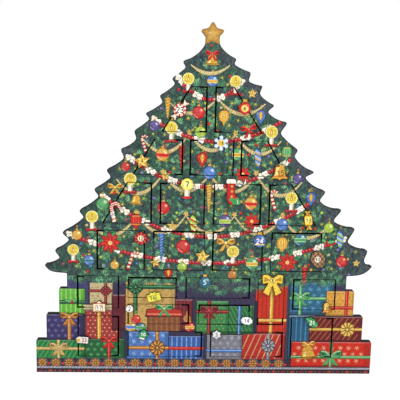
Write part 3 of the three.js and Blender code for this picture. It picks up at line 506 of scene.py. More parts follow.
def ball(x, z, r, paint_name="red", band=None):
    """A glass ball with a cap, a hook, and a band of another colour if it has one."""
    main, light, dark = PAINTS[paint_name]
    hook(x, z + r * 1.15, r * 0.55)
    put([(-0.26, 0.9), (0.26, 0.9), (0.2, 1.25), (-0.2, 1.25)], (x, z, 0, r), GOLD)
    discs(x, z, (r, dark), (r * 0.92, main), steps=18)
    disc(x - r * 0.1, z + r * 0.12, r * 0.66, lighter(main, 0.04))
    for reach, start in ((0.62, 150), (0.44, 190), (0.78, 215)):
        stroke(arc(x, z, r * reach, start, start + 95, 6), r * 0.07, darker(main, 0.42))
    if band:
        tone, pale, _ = PAINTS[band]
        for low, high, colour in ((-0.42, -0.3, pale), (-0.3, 0.1, tone), (0.1, 0.22, pale)):
            belt(x, z, r * 0.92, low, high, colour)
    disc(x + r * 0.38, z + r * 0.36, r * 0.24, light, 14, 1.25, -0.7)
    disc(x + r * 0.42, z + r * 0.4, r * 0.12, CREAM, 8, 1.2, -0.7)
    stroke(arc(x, z, r * 0.74, 195, 265, 5), r * 0.1, lighter(main, 0.35))


def drop(x, z, r, paint_name="blue", heart="gold"):
    """A drop with a pointed foot and an inlaid leaf of another colour."""
    main, light, dark = PAINTS[paint_name]
    tone, pale, deep = PAINTS[heart]
    hook(x, z + r * 1.1, r * 0.6)
    outline = [(0, -1.75)] + mirrored([(0.45, -1.0), (0.85, -0.45), (1, 0.15), (0.75, 0.75), (0.28, 1.05)])
    put(outline, (x, z, 0, r), dark)
    put(outline, (x, z - r * 0.02, 0, r * 0.88), main)
    leaf = [(0, -1.0), (0.42, -0.1), (0.34, 0.5), (0, 0.85), (-0.34, 0.5), (-0.42, -0.1)]
    rimmed(leaf, (x, z, 0, r), deep, tone, 0.84)
    pen([(0, -0.7), (0, 0.6)], (x, z, 0, r), 0.08, pale)
    disc(x - r * 0.62, z + r * 0.3, r * 0.14, light, 8)


def spindle(x, z, length, paint_name="purple", stripe="lime"):
    """A twisted drop: a long spindle with slanted stripes."""
    main, light, dark = PAINTS[paint_name]
    tone = PAINTS[stripe][0]
    half, wide, rows = length / 2, length * 0.17, 12
    hook(x, z + half, wide * 0.8)
    edge = [(wide * math.sin(math.pi * (i / rows) ** 0.8) + 0.2, half - length * i / rows)
            for i in range(rows + 1)]
    put(mirrored(edge), (x, z, 0, 1), dark)
    slant = wide * 0.5
    for i in range(1, rows - 1):
        (u, v), (w, t) = edge[i], edge[i + 1]
        paint([(x - u * 0.88, z + v + slant * u / wide), (x + u * 0.88, z + v - slant * u / wide),
               (x + w * 0.88, z + t - slant * w / wide), (x - w * 0.88, z + t + slant * w / wide)],
              (tone, main, light)[i % 3])


def icicle(x, z, length, paint_name="gold"):
    """A twisted glass icicle that hangs from its thick end."""
    main, light, dark = PAINTS[paint_name]
    hook(x, z, 2.6)
    turns = max(5, int(length / 3.6))
    step = length / turns
    wides = [4.0 * (1 - i / turns) ** 0.7 + 0.5 for i in range(turns + 1)]
    for reach, colour in ((1.0, dark), (0.8, main)):
        edge = [(wides[i] * reach * swell, -step * (i + part))
                for i in range(turns) for part, swell in ((0.0, 0.8), (0.5, 1.0))]
        put(edge + [(0, -length)] + mirrored(edge)[len(edge):], (x, z, 0, 1), colour)
    for i in range(turns):
        low, high = z - step * (i + 0.95), z - step * (i + 0.3)
        stroke([(x - wides[i] * 0.8, low), (x + wides[i] * 0.8, high)], step * 0.2, dark)
        stroke([(x - wides[i] * 0.4, low + step * 0.4), (x + wides[i] * 0.35, high + step * 0.25)],
               step * 0.2, light)


def lantern(x, z, r, paint_name="red"):
    """A pleated paper lantern with a point below."""
    main, light, dark = PAINTS[paint_name]
    at = (x, z, 0, r)
    hook(x, z + r * 1.1, r * 0.5)
    side = [(0.45, 1.1), (0.9, 0.6), (1.0, 0.0), (0.8, -0.7), (0.3, -1.1)]
    rimmed([(-0.45, 1.1)] + side + [(0, -1.9)] + mirrored(side)[5:-1], at, dark, main)
    for u in (-0.45, 0.0, 0.45):
        stroke([(x + u * r * 0.7, z - r * 0.85), (x + u * r, z), (x + u * r * 0.7, z + r * 0.85)],
               r * 0.09, light)
    for u, v in ((0.8, -0.66), (0.66, 0.72)):
        pen([(-u, v), (u, v)], at, 0.13, GOLD)


print("glass paints:", len(PAINTS))

# %% Candles, stars, canes, bows and flowers


def candle(x, z, r=8.5):
    """A lit candle on its clip, with the glow as a pale disc round the flame."""
    discs(x, z, (r * 1.07, "#55592f"), (r, "#ece0a4"), steps=20)
    disc(x, z, r * 0.84, "#ddc437", 18)
    disc(x, z - r * 0.08, r * 0.6, "#e6d35c", 16)
    for side in (-1, 1):
        stroke(arc(x, z - r * 0.1, r * 0.5, 90 - side * 25, 90 - side * 150, 6), r * 0.07, "#a98a24")
    disc(x, z - r * 0.2, r * 0.34, "#d9a93c", 12, 0.8)
    flame = [(0, 0.62), (0.17, 0.05), (0.1, -0.42), (-0.1, -0.42), (-0.17, 0.05)]
    put(flame, (x, z, 0, r * 1.1), "#8f5f14")
    put(flame, (x, z - r * 0.1, 0, r * 0.7), "#efd579")
    foot = z - r * 1.95
    lobes = (-0.74, -0.38, 0.0, 0.38, 0.74)
    for u in lobes:
        disc(x + u * r, foot - r * (0.06 + 0.2 * abs(u)), r * 0.34, "#3a0d10", 12)
    for u in lobes:
        disc(x + u * r, foot - r * (0.06 + 0.2 * abs(u)), r * 0.23, "#a81f1e", 10)
        disc(x + (u - 0.06) * r, foot, r * 0.07, RED_LIGHT, 6, 1.4)
    for (a, b, c, d), colour in (((0.36, 0.36, 0.38, 0.34), "#b9a98c"),
                                 ((0.28, 0.16, 0.18, 0.26), "#f2ece0")):
        paint([(x - r * a, foot), (x + r * b, foot), (x + r * c, z - r), (x - r * d, z - r * 1.02)], colour)


def star(x, z, r, turn=0.0, waist=0.46):
    """A gold star whose points are folded, one half lit and the other in shade."""
    tips = [turn + math.pi / 2 + 2 * math.pi * i / 5 for i in range(5)]
    for tip in tips:
        for side, colour in ((-1, GOLD_LIGHT), (1, GOLD)):
            notch = tip + side * math.pi / 5
            paint([(x, z), (x + r * math.cos(tip), z + r * math.sin(tip)),
                   (x + r * waist * math.cos(notch), z + r * waist * math.sin(notch))], colour)
    for tip in tips:
        stroke([(x, z), (x + r * 0.9 * math.cos(tip), z + r * 0.9 * math.sin(tip))], r * 0.06, GOLD_DARK)


def cane(x, z, height, turn=0.0):
    """A striped sugar cane."""
    r = height * 0.16
    path = [(-r, height * v) for v in (-0.62, -0.2, 0.2)] + arc(0, height * 0.2, r, 180, 10, 7)
    path = turned(path, x, z, turn)
    stroke(path, height * 0.17, RED_DARK)
    stroke(path, height * 0.14, CREAM)
    whole = []
    for a, b in zip(path, path[1:]):
        parts = max(1, int(math.dist(a, b) / (height * 0.09)))
        whole += [(a[0] + (b[0] - a[0]) * i / parts, a[1] + (b[1] - a[1]) * i / parts) for i in range(parts)]
    for a, b in list(zip(whole, whole[1:]))[::2]:
        stroke([a, b], height * 0.14, RED)


def bow(x, z, size, paint_name="red", turn=0.0):
    """A tied ribbon with two loops and two tails."""
    main, light, dark = PAINTS[paint_name]
    at = (x, z, turn, size)
    for side in (-1, 1):
        tail, loop, hollow, glint = ([(side * u, v) for u, v in shape] for shape in (
            [(0, 0), (0.35, -0.35), (0.78, -1.0), (0.3, -0.92), (0.04, -0.4)],
            [(0, 0), (0.45, 0.48), (0.95, 0.5), (1.02, 0.0), (0.7, -0.22)],
            [(0.35, 0.12), (0.8, 0.34), (0.82, 0.02)], [(0.1, 0.08), (0.5, 0.4), (0.86, 0.42)]))
        rimmed(tail, at, dark, main)
        rimmed(loop, at, dark, main)
        put(hollow, at, dark)
        pen(glint, at, 0.07, light)
    discs(x, z, (size * 0.2, dark), (size * 0.15, light))


def poinsettia(x, z, r):
    """A red star flower with green leaves under it."""
    for i in range(7):
        leaf = [(0, 0), (0.55, 0.26), (1.08, 0), (0.55, -0.26)]
        rimmed(leaf, (x, z, 2 * math.pi * i / 7 + 0.3, r), GREEN_DARK, "#3f8a55", 0.9)
    for ring, share, start in ((8, 0.86, 0.1), (6, 0.58, 0.5)):
        for i in range(ring):
            at = (x, z, 2 * math.pi * i / ring + start, r * share)
            rimmed([(0, 0), (0.3, 0.22), (0.72, 0.2), (1, 0), (0.72, -0.2), (0.3, -0.22)],
                   at, RED_DARK, RED, 0.9)
            stroke(turned([(0, 0), (0.7, 0)], *at), r * 0.03, RED_LIGHT)
    for i in range(6):
        a = 2 * math.pi * i / 6
        disc(x + r * 0.1 * math.cos(a), z + r * 0.1 * math.sin(a), r * 0.06, GOLD_LIGHT, 8)


def holly(x, z, size, turn=0.0):
    """Two spiny leaves and three berries."""
    spines = [(0.2, 0.2), (0.3, 0.1), (0.5, 0.28), (0.62, 0.12), (0.84, 0.2)]
    leaf = [(0, 0)] + spines + [(1.0, 0)] + [(u, -v) for u, v in reversed(spines)]
    for aim in (math.pi * 0.88, math.pi * 0.12):
        at = (x, z, turn + aim, size)
        rimmed(leaf, at, GREEN_DARK, "#3f9a56", 0.9)
        pen([(0, 0), (0.9, 0)], at, 0.05, GREEN_LIGHT)
    for u, v in ((0, 0.1), (-0.12, -0.08), (0.13, -0.08)):
        discs(x + u * size, z + v * size, (size * 0.12, RED_DARK), (size * 0.09, RED), steps=10)


def bell(x, z, size, turn=0.0):
    """A golden bell, lit from the left."""
    at = (x, z, turn, size)
    disc(x, z - size * 0.5, size * 0.16, GOLD_DARK)
    side = [(0.16, 0.62), (0.42, 0.46), (0.5, 0.0), (0.62, -0.32), (0.86, -0.5)]
    rimmed([(-0.16, 0.62)] + mirrored(side)[:-1], at, GOLD_DARK, GOLD, 0.9)
    put([(-0.3, 0.4), (-0.12, 0.44), (-0.2, -0.3), (-0.5, -0.36), (-0.36, 0.0)],
        (x, z, turn, size * 0.9), GOLD_LIGHT)
    pen([(-0.7, -0.36), (0.7, -0.36)], at, 0.07, GOLD_DARK)


def berry(x, z, r, paint_name):
    main, light, dark = PAINTS[paint_name]
    discs(x, z, (r * 1.1, dark), (r * 0.85, main), steps=10)
    disc(x + r * 0.25, z + r * 0.3, r * 0.28, light, 6)


print("motifs are ready")

# %% [markdown]
# ## Parcels under the tree
# The lower third is a pile of wrapped parcels against a dark wall. The steps of the board are the
# parcels at the sides, so those have to meet the outline. A parcel is a box of paper with a pattern,
# a ribbon and a shaded side, and a function for each pattern keeps the pile varied.

# %% Wrapping papers


def clipped(a, b, x0, x1, z0, z1):
    """The part of a line inside a box, or nothing."""
    t0, t1 = 0.0, 1.0
    dx, dz = b[0] - a[0], b[1] - a[1]
    for p, q in ((-dx, a[0] - x0), (dx, x1 - a[0]), (-dz, a[1] - z0), (dz, z1 - a[1])):
        if p < 0:
            t0 = max(t0, q / p)
        elif p > 0:
            t1 = min(t1, q / p)
        elif q < 0:
            return []
    return [(a[0] + dx * t, a[1] + dz * t) for t in (t0, t1)] if t0 < t1 else []


def slanted_lines(x0, x1, z0, z1, pitch, slope, width, colour):
    """Parallel slanted lines that fill a box."""
    reach = (z1 - z0) * abs(slope)
    x = x0 - reach
    while x < x1 + reach:
        stroke(clipped((x, z0), (x + (z1 - z0) * slope, z1), x0, x1, z0, z1), width, colour)
        x += pitch


def striped(x0, x1, z0, z1, pitch, width, colour):
    """Upright stripes that fill a box."""
    for i in range(int((x1 - x0) / pitch)):
        x = x0 + pitch * (i + 0.5)
        rect(x, x + width, z0, z1, colour)


def staggered(x0, x1, z0, z1, pitch, foot, even, odd):
    """Places in offset rows. The last three are shares of the pitch: under the rows, and before a row."""
    row, z = 0, z0 + pitch * foot
    while z < z1:
        x = x0 + pitch * (odd if row % 2 else even)
        while x < x1:
            yield x, z, row % 2
            x += pitch
        z += pitch * 0.8
        row += 1


def dotted(x0, x1, z0, z1, pitch, r, colour):
    """Dots in offset rows."""
    for x, z, _ in staggered(x0, x1 - r, z0, z1 - r, pitch, 0.6, 1.0, 0.5):
        disc(x, z, r, colour, 7)


def sprigged(x0, x1, z0, z1, pitch, size, colour):
    """Small slanted leaves in offset rows."""
    for x, z, odd in staggered(x0, x1 - size * 0.6, z0, z1 - size * 0.4, pitch, 0.5, 0.9, 0.4):
        put([(-1, 0), (-0.2, 0.5), (1, 0.1), (0.2, -0.5)], (x, z, 0.6 + 0.5 * odd, size * 0.6), colour)


def flaked(x0, x1, z0, z1, pitch, size, colour):
    """Small six-armed snow crystals in offset rows."""
    for x, z, _ in staggered(x0, x1 - size * 0.8, z0, z1 - size * 0.6, pitch, 0.5, 0.85, 0.4):
        for arm in range(3):
            u, v = size * math.cos(arm * math.pi / 3 + 0.3), size * math.sin(arm * math.pi / 3 + 0.3)
            stroke([(x - u, z - v), (x + u, z + v)], 0.6, colour)


def parcel(x0, x1, z0, z1, colour):
    """The paper of a parcel: rim of 1 mm, face, and a shaded right side and foot."""
    rect(x0, x1, z0, z1, darker(colour, 0.9))
    rect(x0 + 1, x1 - 1, z0 + 1, z1 - 1, colour)
    rect(x1 - (x1 - x0) * 0.1, x1 - 1, z0 + 1, z1 - 1, darker(colour, 0.24))
    rect(x0 + 1, x1 - 1, z0 + 1, z0 + (z1 - z0) * 0.08, darker(colour, 0.4))
    rect(x0 + 1, x1 - 1, z1 - (z1 - z0) * 0.05 - 0.4, z1 - 1, lighter(colour, 0.12))


def ribbon(x0, x1, z0, z1, paint_name):
    """A satin ribbon, with an edge in shade and a lighter middle."""
    main, light, dark = PAINTS[paint_name]
    rect(x0, x1, z0, z1, dark)
    inset = min(x1 - x0, z1 - z0) * 0.14
    if x1 - x0 < z1 - z0:
        rect(x0 + inset, x1 - inset, z0, z1, main)
        rect(x0 + inset * 2, x0 + inset * 3.4, z0, z1, light)
    else:
        rect(x0, x1, z0 + inset, z1 - inset, main)
        rect(x0, x1, z1 - inset * 3.4, z1 - inset * 2, light)


def crossed(x0, x1, z0, z1, x, z, width, paint_name):
    """A ribbon round a parcel both ways, that crosses at a place."""
    ribbon(x - width / 2, x + width / 2, z0, z1, paint_name)
    ribbon(x0, x1, z - width / 2, z + width / 2, paint_name)


def rosette(x, z, r, paint_name, petals=9):
    """A gathered bow seen from the front: loops round a knot."""
    main, light, dark = PAINTS[paint_name]
    disc(x, z, r * 1.08, darker(dark, 0.5), 20)
    half = math.pi / petals
    for i in range(petals):
        at = (x, z, 2 * half * i, r)
        loop = [(u, v * u * math.tan(half)) for u, v in ((0.5, 0.7), (0.86, 0.84))] + [(1.03, 0.06)]
        put([(0.16, 0)] + loop + [(u, -v) for u, v in reversed(loop)], at, main)
        put([(0.34, 0.02), (0.6, 0.16), (0.9, 0.16), (0.94, 0.04)], at, light)
        pen([(0.3, -0.06), (0.82, -0.1)], at, 0.05, dark)
    disc(x, z, r * 0.26, darker(dark, 0.3), 10)
    disc(x, z, r * 0.17, light, 8)


print("papers, ribbons and rosettes are ready")

# %% The pile of parcels
OUTLINE_INK = "#17131a"
PILE = [
    # The wall behind
    (rect, -236, 236, -4, 142, "#2f2a44"), (slanted_lines, -190, 190, 96, 141, 3.1, 0.35, 0.8, "#3d3759"),
    (slanted_lines, -190, 190, 96, 141, 7.7, -0.5, 0.8, "#1f1a33"), (rect, -190, -160, 84, 142, "#34325a"),
    (slanted_lines, -190, -160, 84, 142, 2.6, 0.2, 0.7, "#4a4a7a"),
    # Bright green stripes and a dark band, at the second step on the left
    (parcel, -200, -163, 83, 119.4, "#5ca838"), (striped, -199, -164, 85, 118, 6.2, 1.3, "#97cf68"),
    (ribbon, -199, -164, 97, 102.4, "forest"), (holly, -181, 100, 11, 0.15),
    # Violet with snow crystals, an upright ribbon and a bow on top, at the third step
    (parcel, -217, -166, 46, 83, "#332e5c"), (flaked, -216, -168, 48, 82, 9.0, 2.5, "#6f68a0"),
    (ribbon, -188, -182.4, 46, 83, "orange"), (bow, -185, 79, 13, "orange"),
    # Coral box with a cream lid, and a smaller one on it
    (parcel, -164, -116, 46, 90, "#9d3330"), (dotted, -163, -119, 50, 88, 6.4, 1.0, "#cfae84"),
    (ribbon, -148, -142, 46, 90, "gold"), (rect, -167, -113, 88.6, 97.4, OUTLINE_INK),
    (rect, -166, -114, 89.6, 96.4, "#c9b98f"), (striped, -165, -115, 90, 96.2, 5.0, 1.0, "#a58f62"),
    (parcel, -158, -126, 97, 128, "#bfae82"), (sprigged, -157, -128, 99, 127, 7.4, 2.6, "#a53a32"),
    (crossed, -157.6, -126.4, 97.4, 127.6, -136, 116, 4.2, "crimson"),
    (rosette, -136, 116, 6.4, "crimson", 8),
    # Two green ones at the foot
    (parcel, -232, -163, 18, 47, "#22703a"), (slanted_lines, -231, -170, 21, 45, 6.4, 0.6, 1.5, "#3f9a52"),
    (crossed, -231, -164, 18.6, 46.4, -200, 34, 4.6, "tan"), (bow, -200, 36, 13, "tan"),
    (parcel, -165, -110, 18, 49, "#1b5a30"), (flaked, -164, -114, 21, 47, 9.4, 2.7, "#5fae68"),
    (ribbon, -134, -129, 18.6, 48.4, "red"), (bow, -131.5, 46, 12, "red"),
    # Tall red one, striped, tied in gold under the bow that is a tab
    (parcel, 66, 112, 54, 137, "#c02a14"), (striped, 67, 108, 58, 135, 5.8, 1.2, "#96200f"),
    (ribbon, 86, 91.6, 54.6, 130, "gold"), (ribbon, 66.6, 111.4, 74, 79, "gold"),
    (rect, 110, 117, 20, 137, "#2f3549"),
    # A grey one with snow crystals and a red one with cream stripes, in front
    (parcel, 1, 52, 18, 56, "#777780"), (flaked, 2, 49, 22, 54, 10.0, 3.0, "#a5a7b4"),
    (ribbon, 1.6, 51.4, 30, 35, "blue"), (parcel, 50, 110, 18, 58, "#ad2720"),
    (slanted_lines, 51, 104, 21, 56, 8.4, 0.4, 1.4, "#c99a68"), (ribbon, 84, 89, 18.6, 57.4, "silver"),
    (rosette, 86.5, 40, 9.0, "silver", 9),
    # Teal with snow crystals, tied in green, over a darker striped one
    (parcel, 113, 174, 84, 137, "#2a5f7e"), (flaked, 114, 170, 88, 135, 11.4, 3.4, "#62a4c4"),
    (crossed, 113.6, 173.4, 84.6, 136.4, 128, 108, 5.4, "green"), (bow, 128, 110, 14, "green"),
    (parcel, 113, 150, 20, 85, "#22506e"), (striped, 114, 147, 24, 83, 6.4, 1.5, "#3d82a6"),
    # Gold paper with dots, tied in red, at the second step on the right
    (parcel, 163, 203, 83, 119.4, "#d09a40"), (dotted, 164, 199, 86, 117, 6.4, 0.9, "#a2562a"),
    (crossed, 163.6, 202.4, 83.6, 118.8, 192, 95, 4.8, "red"),
    # Crimson with slanted gold lines and a rosette, at the third step
    (parcel, 142, 217, 46, 83.2, "#6a0f19"), (slanted_lines, 143, 210, 49, 81, 7.6, 0.7, 0.9, "#9c6f38"),
    (ribbon, 142.6, 216.4, 62, 66.4, "gold"), (rosette, 195, 64.2, 10.0, "gold", 10),
    # Red with cream snow crystals and a green bow, at the foot
    (parcel, 118, 232, 9, 46.8, "#c4230f"), (flaked, 119, 221, 13, 45, 11.6, 3.4, "#e0b890"),
    (crossed, 118.6, 231.4, 9.6, 46.2, 174, 24, 4.6, "green"), (bow, 174, 26, 16, "green"),
    (bell, 142, 30, 17, 0.12), (bow, 142, 42, 10, "gold", 0.1),
    # Crimson ones at the back of the middle
    (parcel, -128, -98, 60, 112, "#5c1a26"), (parcel, -46, -18, 60, 106, "#6b1d28"),
    (striped, -44, -22, 64, 104, 5.4, 0.9, "#8f3a3a"),
    # Tan paper with sprigs, tied both ways in dark green
    (parcel, -110, -42, 60, 136.6, "#c09c58"), (sprigged, -109, -46, 62, 134, 9.2, 3.4, "#7f7c4a"),
    (dotted, -104, -46, 66, 134, 13.0, 0.9, "#a5482f"),
    (crossed, -109, -43, 60.6, 136, -96, 122, 6.0, "forest"),
    (rosette, -96, 122, 9.4, "forest", 10),
    # Round hatbox in brown with a red lid
    (rect, -80, -34, 59, 82, OUTLINE_INK), (rect, -79, -35, 60, 81, "#7d4a2c"),
    (striped, -79, -36, 60, 81, 7.0, 2.2, "#93603a"),
    (paint, [(-83, 80), (-31, 80), (-33, 91), (-57, 95), (-81, 91)], OUTLINE_INK),
    (paint, [(-81.8, 81.2), (-32.2, 81.2), (-34, 90), (-57, 93.8), (-80, 90)], "#b42a22"),
    (stroke, [(-80, 84), (-34, 84)], 1.8, "#df7f66"), (bow, -57, 92, 12, "green"),
    # Glass balls in a heap beside it
    (ball, -102, 66, 8.0, "gold", "blue"), (ball, -89, 65, 7.4, "teal", "green"), (ball, -95, 76, 6.4, "red"),
    (ball, -22, 66, 7.2, "red", "gold"), (ball, -26, 78, 5.4, "orange"),
    # A blue one with snow crystals and a darker striped one beside it
    (parcel, -108, -50, 18, 60, "#4a73b4"), (flaked, -107, -54, 22, 58, 11.0, 3.4, "#9dbce6"),
    (crossed, -107, -51, 18.6, 59.4, -66, 36, 5.4, "orange"), (rosette, -66, 36, 10.0, "orange", 10),
    (parcel, -51, -2, 18, 54, "#35599b"), (striped, -50, -6, 20, 52, 6.6, 1.8, "#6f97d3"),
    (ribbon, -50.4, -2.6, 33, 38, "red"),
    # Two green ones above the grey one
    (parcel, -14, 31, 56, 104, "#378046"), (dotted, -13, 28, 60, 102, 6.2, 0.8, "#b59a48"),
    (crossed, -13.4, 30.4, 56.6, 103.4, 4, 88, 5.2, "crimson"), (bow, 4, 90, 12, "crimson"),
    (parcel, 30, 66, 56, 98, "#27653a"), (slanted_lines, 31, 62, 59, 96, 5.6, -0.5, 1.0, "#4c9854"),
    (ribbon, 43, 48, 56.6, 97.4, "blue"), (rect, 65.4, 70, 58, 104, "#231e3a"),
]


def paint_all(table):
    """Paints a table of motifs in its order, so what stands in front comes later."""
    for motif, *where in table:
        motif(*where)


def paint_border():
    """A row of gold rosettes and berries over a pale cord and a dark band with lozenges, along the foot."""
    rect(-232, 118, 8, 20, "#2c2230")
    for x in range(-222, 116, 18):
        disc(x, 14, 7.2, "#595c68", 18, 1.06)
        rosette(x, 14, 5.6, "orange", 8)
        berry(x + 9, 12.4, 2.1, "red")
    rect(-233, 233, 5.2, 9.2, OUTLINE_INK)
    rect(-233, 233, 5.8, 8.6, "#aaaab6")
    slanted_lines(-232, 232, 5.8, 8.6, 4.2, 0.7, 0.9, "#6a6a78")
    rect(-233, 233, -1, 5.2, "#1b1420")
    for i in range(36):
        x = -224 + i * 12.8
        paint([(x - 4.4, 2.4), (x, 0.4), (x + 4.4, 2.4), (x, 4.4)], "#9c3a26" if i % 2 else "#78203a")
        disc(x + 6.4, 2.4, 0.7, "#b59a6a", 6)


paint_all(PILE)
paint_border()
print("shapes of the parcels:", len(picture))

# %% [markdown]
# ## The tree's foliage
# The tree is a dark ground with hundreds of small sprays of needles in several greens, lighter in the
# middle than at the flanks, as paint is laid on. They are set on a jittered grid, because a grid
# alone would show and pure chance would leave holes. The random draw is seeded, so the print is the
# same each time.

# %% Foliage
SKIRT = 139.0
TREE_RANDOM = random.Random(24)
NEEDLES = ["#2c463e", "#38604e", "#487a5e", "#588c6a", "#79ab7c"]
FLANK_NEEDLES = ["#293236", "#31403e", "#395446", "#456653"]
DEPTHS = ["#28403a", "#2c443f", "#2c3a40"]
SLATE, DEEP_GREEN, RIM_INK = "#3b424b", "#365248", "#191d1f"
FLANK_BAND, SPRAY_STEP, SPARK_STEP = 21.0, 8.0, 14.0
jitter = TREE_RANDOM.uniform


def spray(x, z, size, turn, colour, needles=6):
    """A tuft of needles on a short twig."""
    bx, bz = x - math.cos(turn) * size * 0.2, z - math.sin(turn) * size * 0.2
    half = size * 0.066
    for i in range(needles):
        spread = (i - (needles - 1) / 2) / needles
        a = turn + spread * 3.0
        reach = size * (1.0 - 0.9 * spread * spread)
        sx, sz = -math.sin(a) * half, math.cos(a) * half
        mx, mz = bx + reach * 0.5 * math.cos(a), bz + reach * 0.5 * math.sin(a)
        tip = (bx + reach * math.cos(a), bz + reach * math.sin(a))
        paint([(bx, bz), (mx + sx, mz + sz), tip, (mx - sx, mz - sz)], colour, 1.0)


def skirt_line(x):
    """The ragged lower edge of the foliage over the parcels."""
    dip = 15 * math.exp(-((x - 22) / 62) ** 2)
    return SKIRT - 9 - dip + 2.4 * math.sin(x * 0.23) + 1.6 * math.sin(x * 0.61)


def paint_ground():
    """The slate ground, the green middle with a ragged edge, and darker depths inside the outline."""
    paint([(-226, 480)] + [(x, skirt_line(x)) for x in range(-226, 226, 7)] + [(226, 480)], SLATE, 1.0)
    left, right_side = [], []
    for z in range(446, int(SKIRT) - 24, -6):
        low, high = flanks(max(z, SKIRT + 6))
        band = min(FLANK_BAND, (high - low) * 0.3)
        left.append((max(low, -200) + band + jitter(-7, 7), z))
        right_side.append((min(high, 200) - band + jitter(-7, 7), z))
    paint([(x, max(z, skirt_line(x))) for x, z in left[::-1] + right_side], DEEP_GREEN, 1.0)
    for z in range(438, 132, -18):
        low, high = flanks(z)
        for x in range(int(low) + 10, int(high) - 14, 16):
            jx, jz = jitter(-4, 4), jitter(-5, 5)
            patch = [(x + jx + jitter(9, 14) * math.cos(a), z + jz + jitter(9, 13) * math.sin(a))
                     for a in [2 * math.pi * k / 9 for k in range(9)]]
            paint(patch, TREE_RANDOM.choice(DEPTHS), 1.0)


def paint_sprays():
    """Sprays all over, lighter in the middle, and a fringe that hangs over the parcels."""
    for row in range(int((448 - SKIRT + 14) / SPRAY_STEP)):
        z = 446 - row * SPRAY_STEP
        low, high = flanks(max(z, SKIRT + 6))
        low, high = max(low, -205), min(high, 205)
        count = max(1, int((high - low - 14) / SPRAY_STEP))
        for i in range(count):
            x = low + 8 + (high - low - 20) * (i + 0.5) / count + jitter(-3, 3)
            y = z + jitter(-3.5, 3.5)
            if y < skirt_line(x) + 3:
                continue
            turn = jitter(-math.pi, math.pi)
            at_flank = min(x - low, high - x) < FLANK_BAND
            colour = TREE_RANDOM.choice(FLANK_NEEDLES if at_flank else NEEDLES)
            spray(x, y, jitter(5, 8), turn, colour, 5 if at_flank else 6)
    for i in range(86):
        x = -196 + i * 4.6 + jitter(-1.5, 1.5)
        spray(x, skirt_line(x) + jitter(0, 5), jitter(7, 10), -math.pi / 2 + jitter(-0.7, 0.7),
              TREE_RANDOM.choice(NEEDLES[:4]))


def paint_rim():
    """The dark line that ends the print along the branches."""
    for a, b in zip(OUTLINE, OUTLINE[1:] + OUTLINE[:1]):
        if min(a[1], b[1]) > SKIRT - 2:
            stroke([a, b], 2.6, RIM_INK)


def paint_sparks():
    """Blurred gold lights and small round berries between the sprays."""
    for row in range(23):
        z = 434 - row * SPARK_STEP * 0.93
        low, high = flanks(max(z, SKIRT + 6))
        count = max(1, int((high - low - 26) / SPARK_STEP))
        for i in range(count):
            x = low + 14 + (high - low - 28) * (i + 0.5) / count + jitter(-6, 6)
            y = z + jitter(-7, 7)
            if y < skirt_line(x) + 4:
                continue
            pick = TREE_RANDOM.random()
            if pick < 0.5:
                reach = jitter(3.0, 4.6)
                for k in range(5):
                    a = 2 * math.pi * k / 5 + jitter(-0.3, 0.3)
                    tip = (x + reach * math.cos(a), y + reach * math.sin(a))
                    stroke([(x, y), tip], [1.5, 0.4], "#71853a")
                disc(x, y, reach * 0.38, "#b9a845", 8)
            elif pick < 0.75:
                disc(x, y, 1.6, TREE_RANDOM.choice(["#4f7fae", "#a8485c", "#7f6fb0", "#c9b878"]), 8, 1.3, 0.4)
            else:
                berry(x, y, 2.1, TREE_RANDOM.choice(["red", "red", "red", "blue", "gold", "teal", "lime"]))


paint_ground()
paint_sprays()
paint_rim()
paint_sparks()
print("shapes of the foliage:", len(picture))

# %% [markdown]
# ## Swags and garlands
# Two kinds of string go round the tree. A cream rope is pinned up in short swags with a small gold
# star at each pin. A string of popcorn and red beads runs from flank to flank in one long sag. Both
# follow a curve, so each is a rule: a number of spans, a sag, and what is threaded on.

# %% Rope swags


def between(a, b, t):
    return a[0] + (b[0] - a[0]) * t, a[1] + (b[1] - a[1]) * t


def sag_path(x0, z0, x1, z1, sag, steps):
    """A hanging curve between two places, near enough a parabola for a short sag."""
    shares = [i / steps for i in range(steps + 1)]
    return [(x0 + (x1 - x0) * t, z0 + (z1 - z0) * t - 4 * sag * t * (1 - t)) for t in shares]


def rope_row(z, spans, sag, margin):
    low, high = flanks(z)
    low, high = low + margin, high - margin
    wide = (high - low) / spans
    for i in range(spans):
        x0, x1 = low + wide * i, low + wide * (i + 1)
        lift0 = 0 if i == 0 else sag * 0.35
        lift1 = 0 if i == spans - 1 else sag * 0.35
        path = sag_path(x0, z + lift0, x1, z + lift1, sag, 10)
        thick = [1.4 + 3.6 * math.sin(math.pi * k / 10) for k in range(11)]
        stroke(path, [t + 0.9 for t in thick], "#3f3a26")
        stroke(path, thick, "#bba871")
        for k in range(10):
            for part in (0.3, 0.8):
                px, pz = between(path[k], path[k + 1], part)
                stroke([(px - 0.8, pz - thick[k] * 0.35), (px + 0.9, pz + thick[k] * 0.4)], 0.6, "#e8dbac")
        if i:
            star(x0, z + lift0 + 2.4, 4.6, 0.2 * i)


# Height, spans, sag and distance from the flanks
for row in ((417, 1, 11, 8), (369, 2, 17, 9), (321, 3, 21, 9), (268, 4, 23, 9), (212, 5, 24, 10)):
    rope_row(*row)
print("shapes with the ropes:", len(picture))

# %% Popcorn and bead garlands


def popcorn(x, z, turn, size=4.1):
    """A puffed grain: a few pale lobes with a tan fold between them."""
    for share, colour in ((1.14, "#4f4536"), (0.92, "#f3ecdc")):
        for u, v, r in ((-0.7, 0.25, 0.62), (0.1, 0.55, 0.6), (0.75, 0.05, 0.58), (-0.1, -0.45, 0.6)):
            disc(*turned([(u, v)], x, z, turn, size)[0], r * size * share, colour, 9)
    pen([(-0.4, -0.1), (0.05, 0.15), (0.4, -0.15)], (x, z, turn, size), 0.14, "#a8854f")


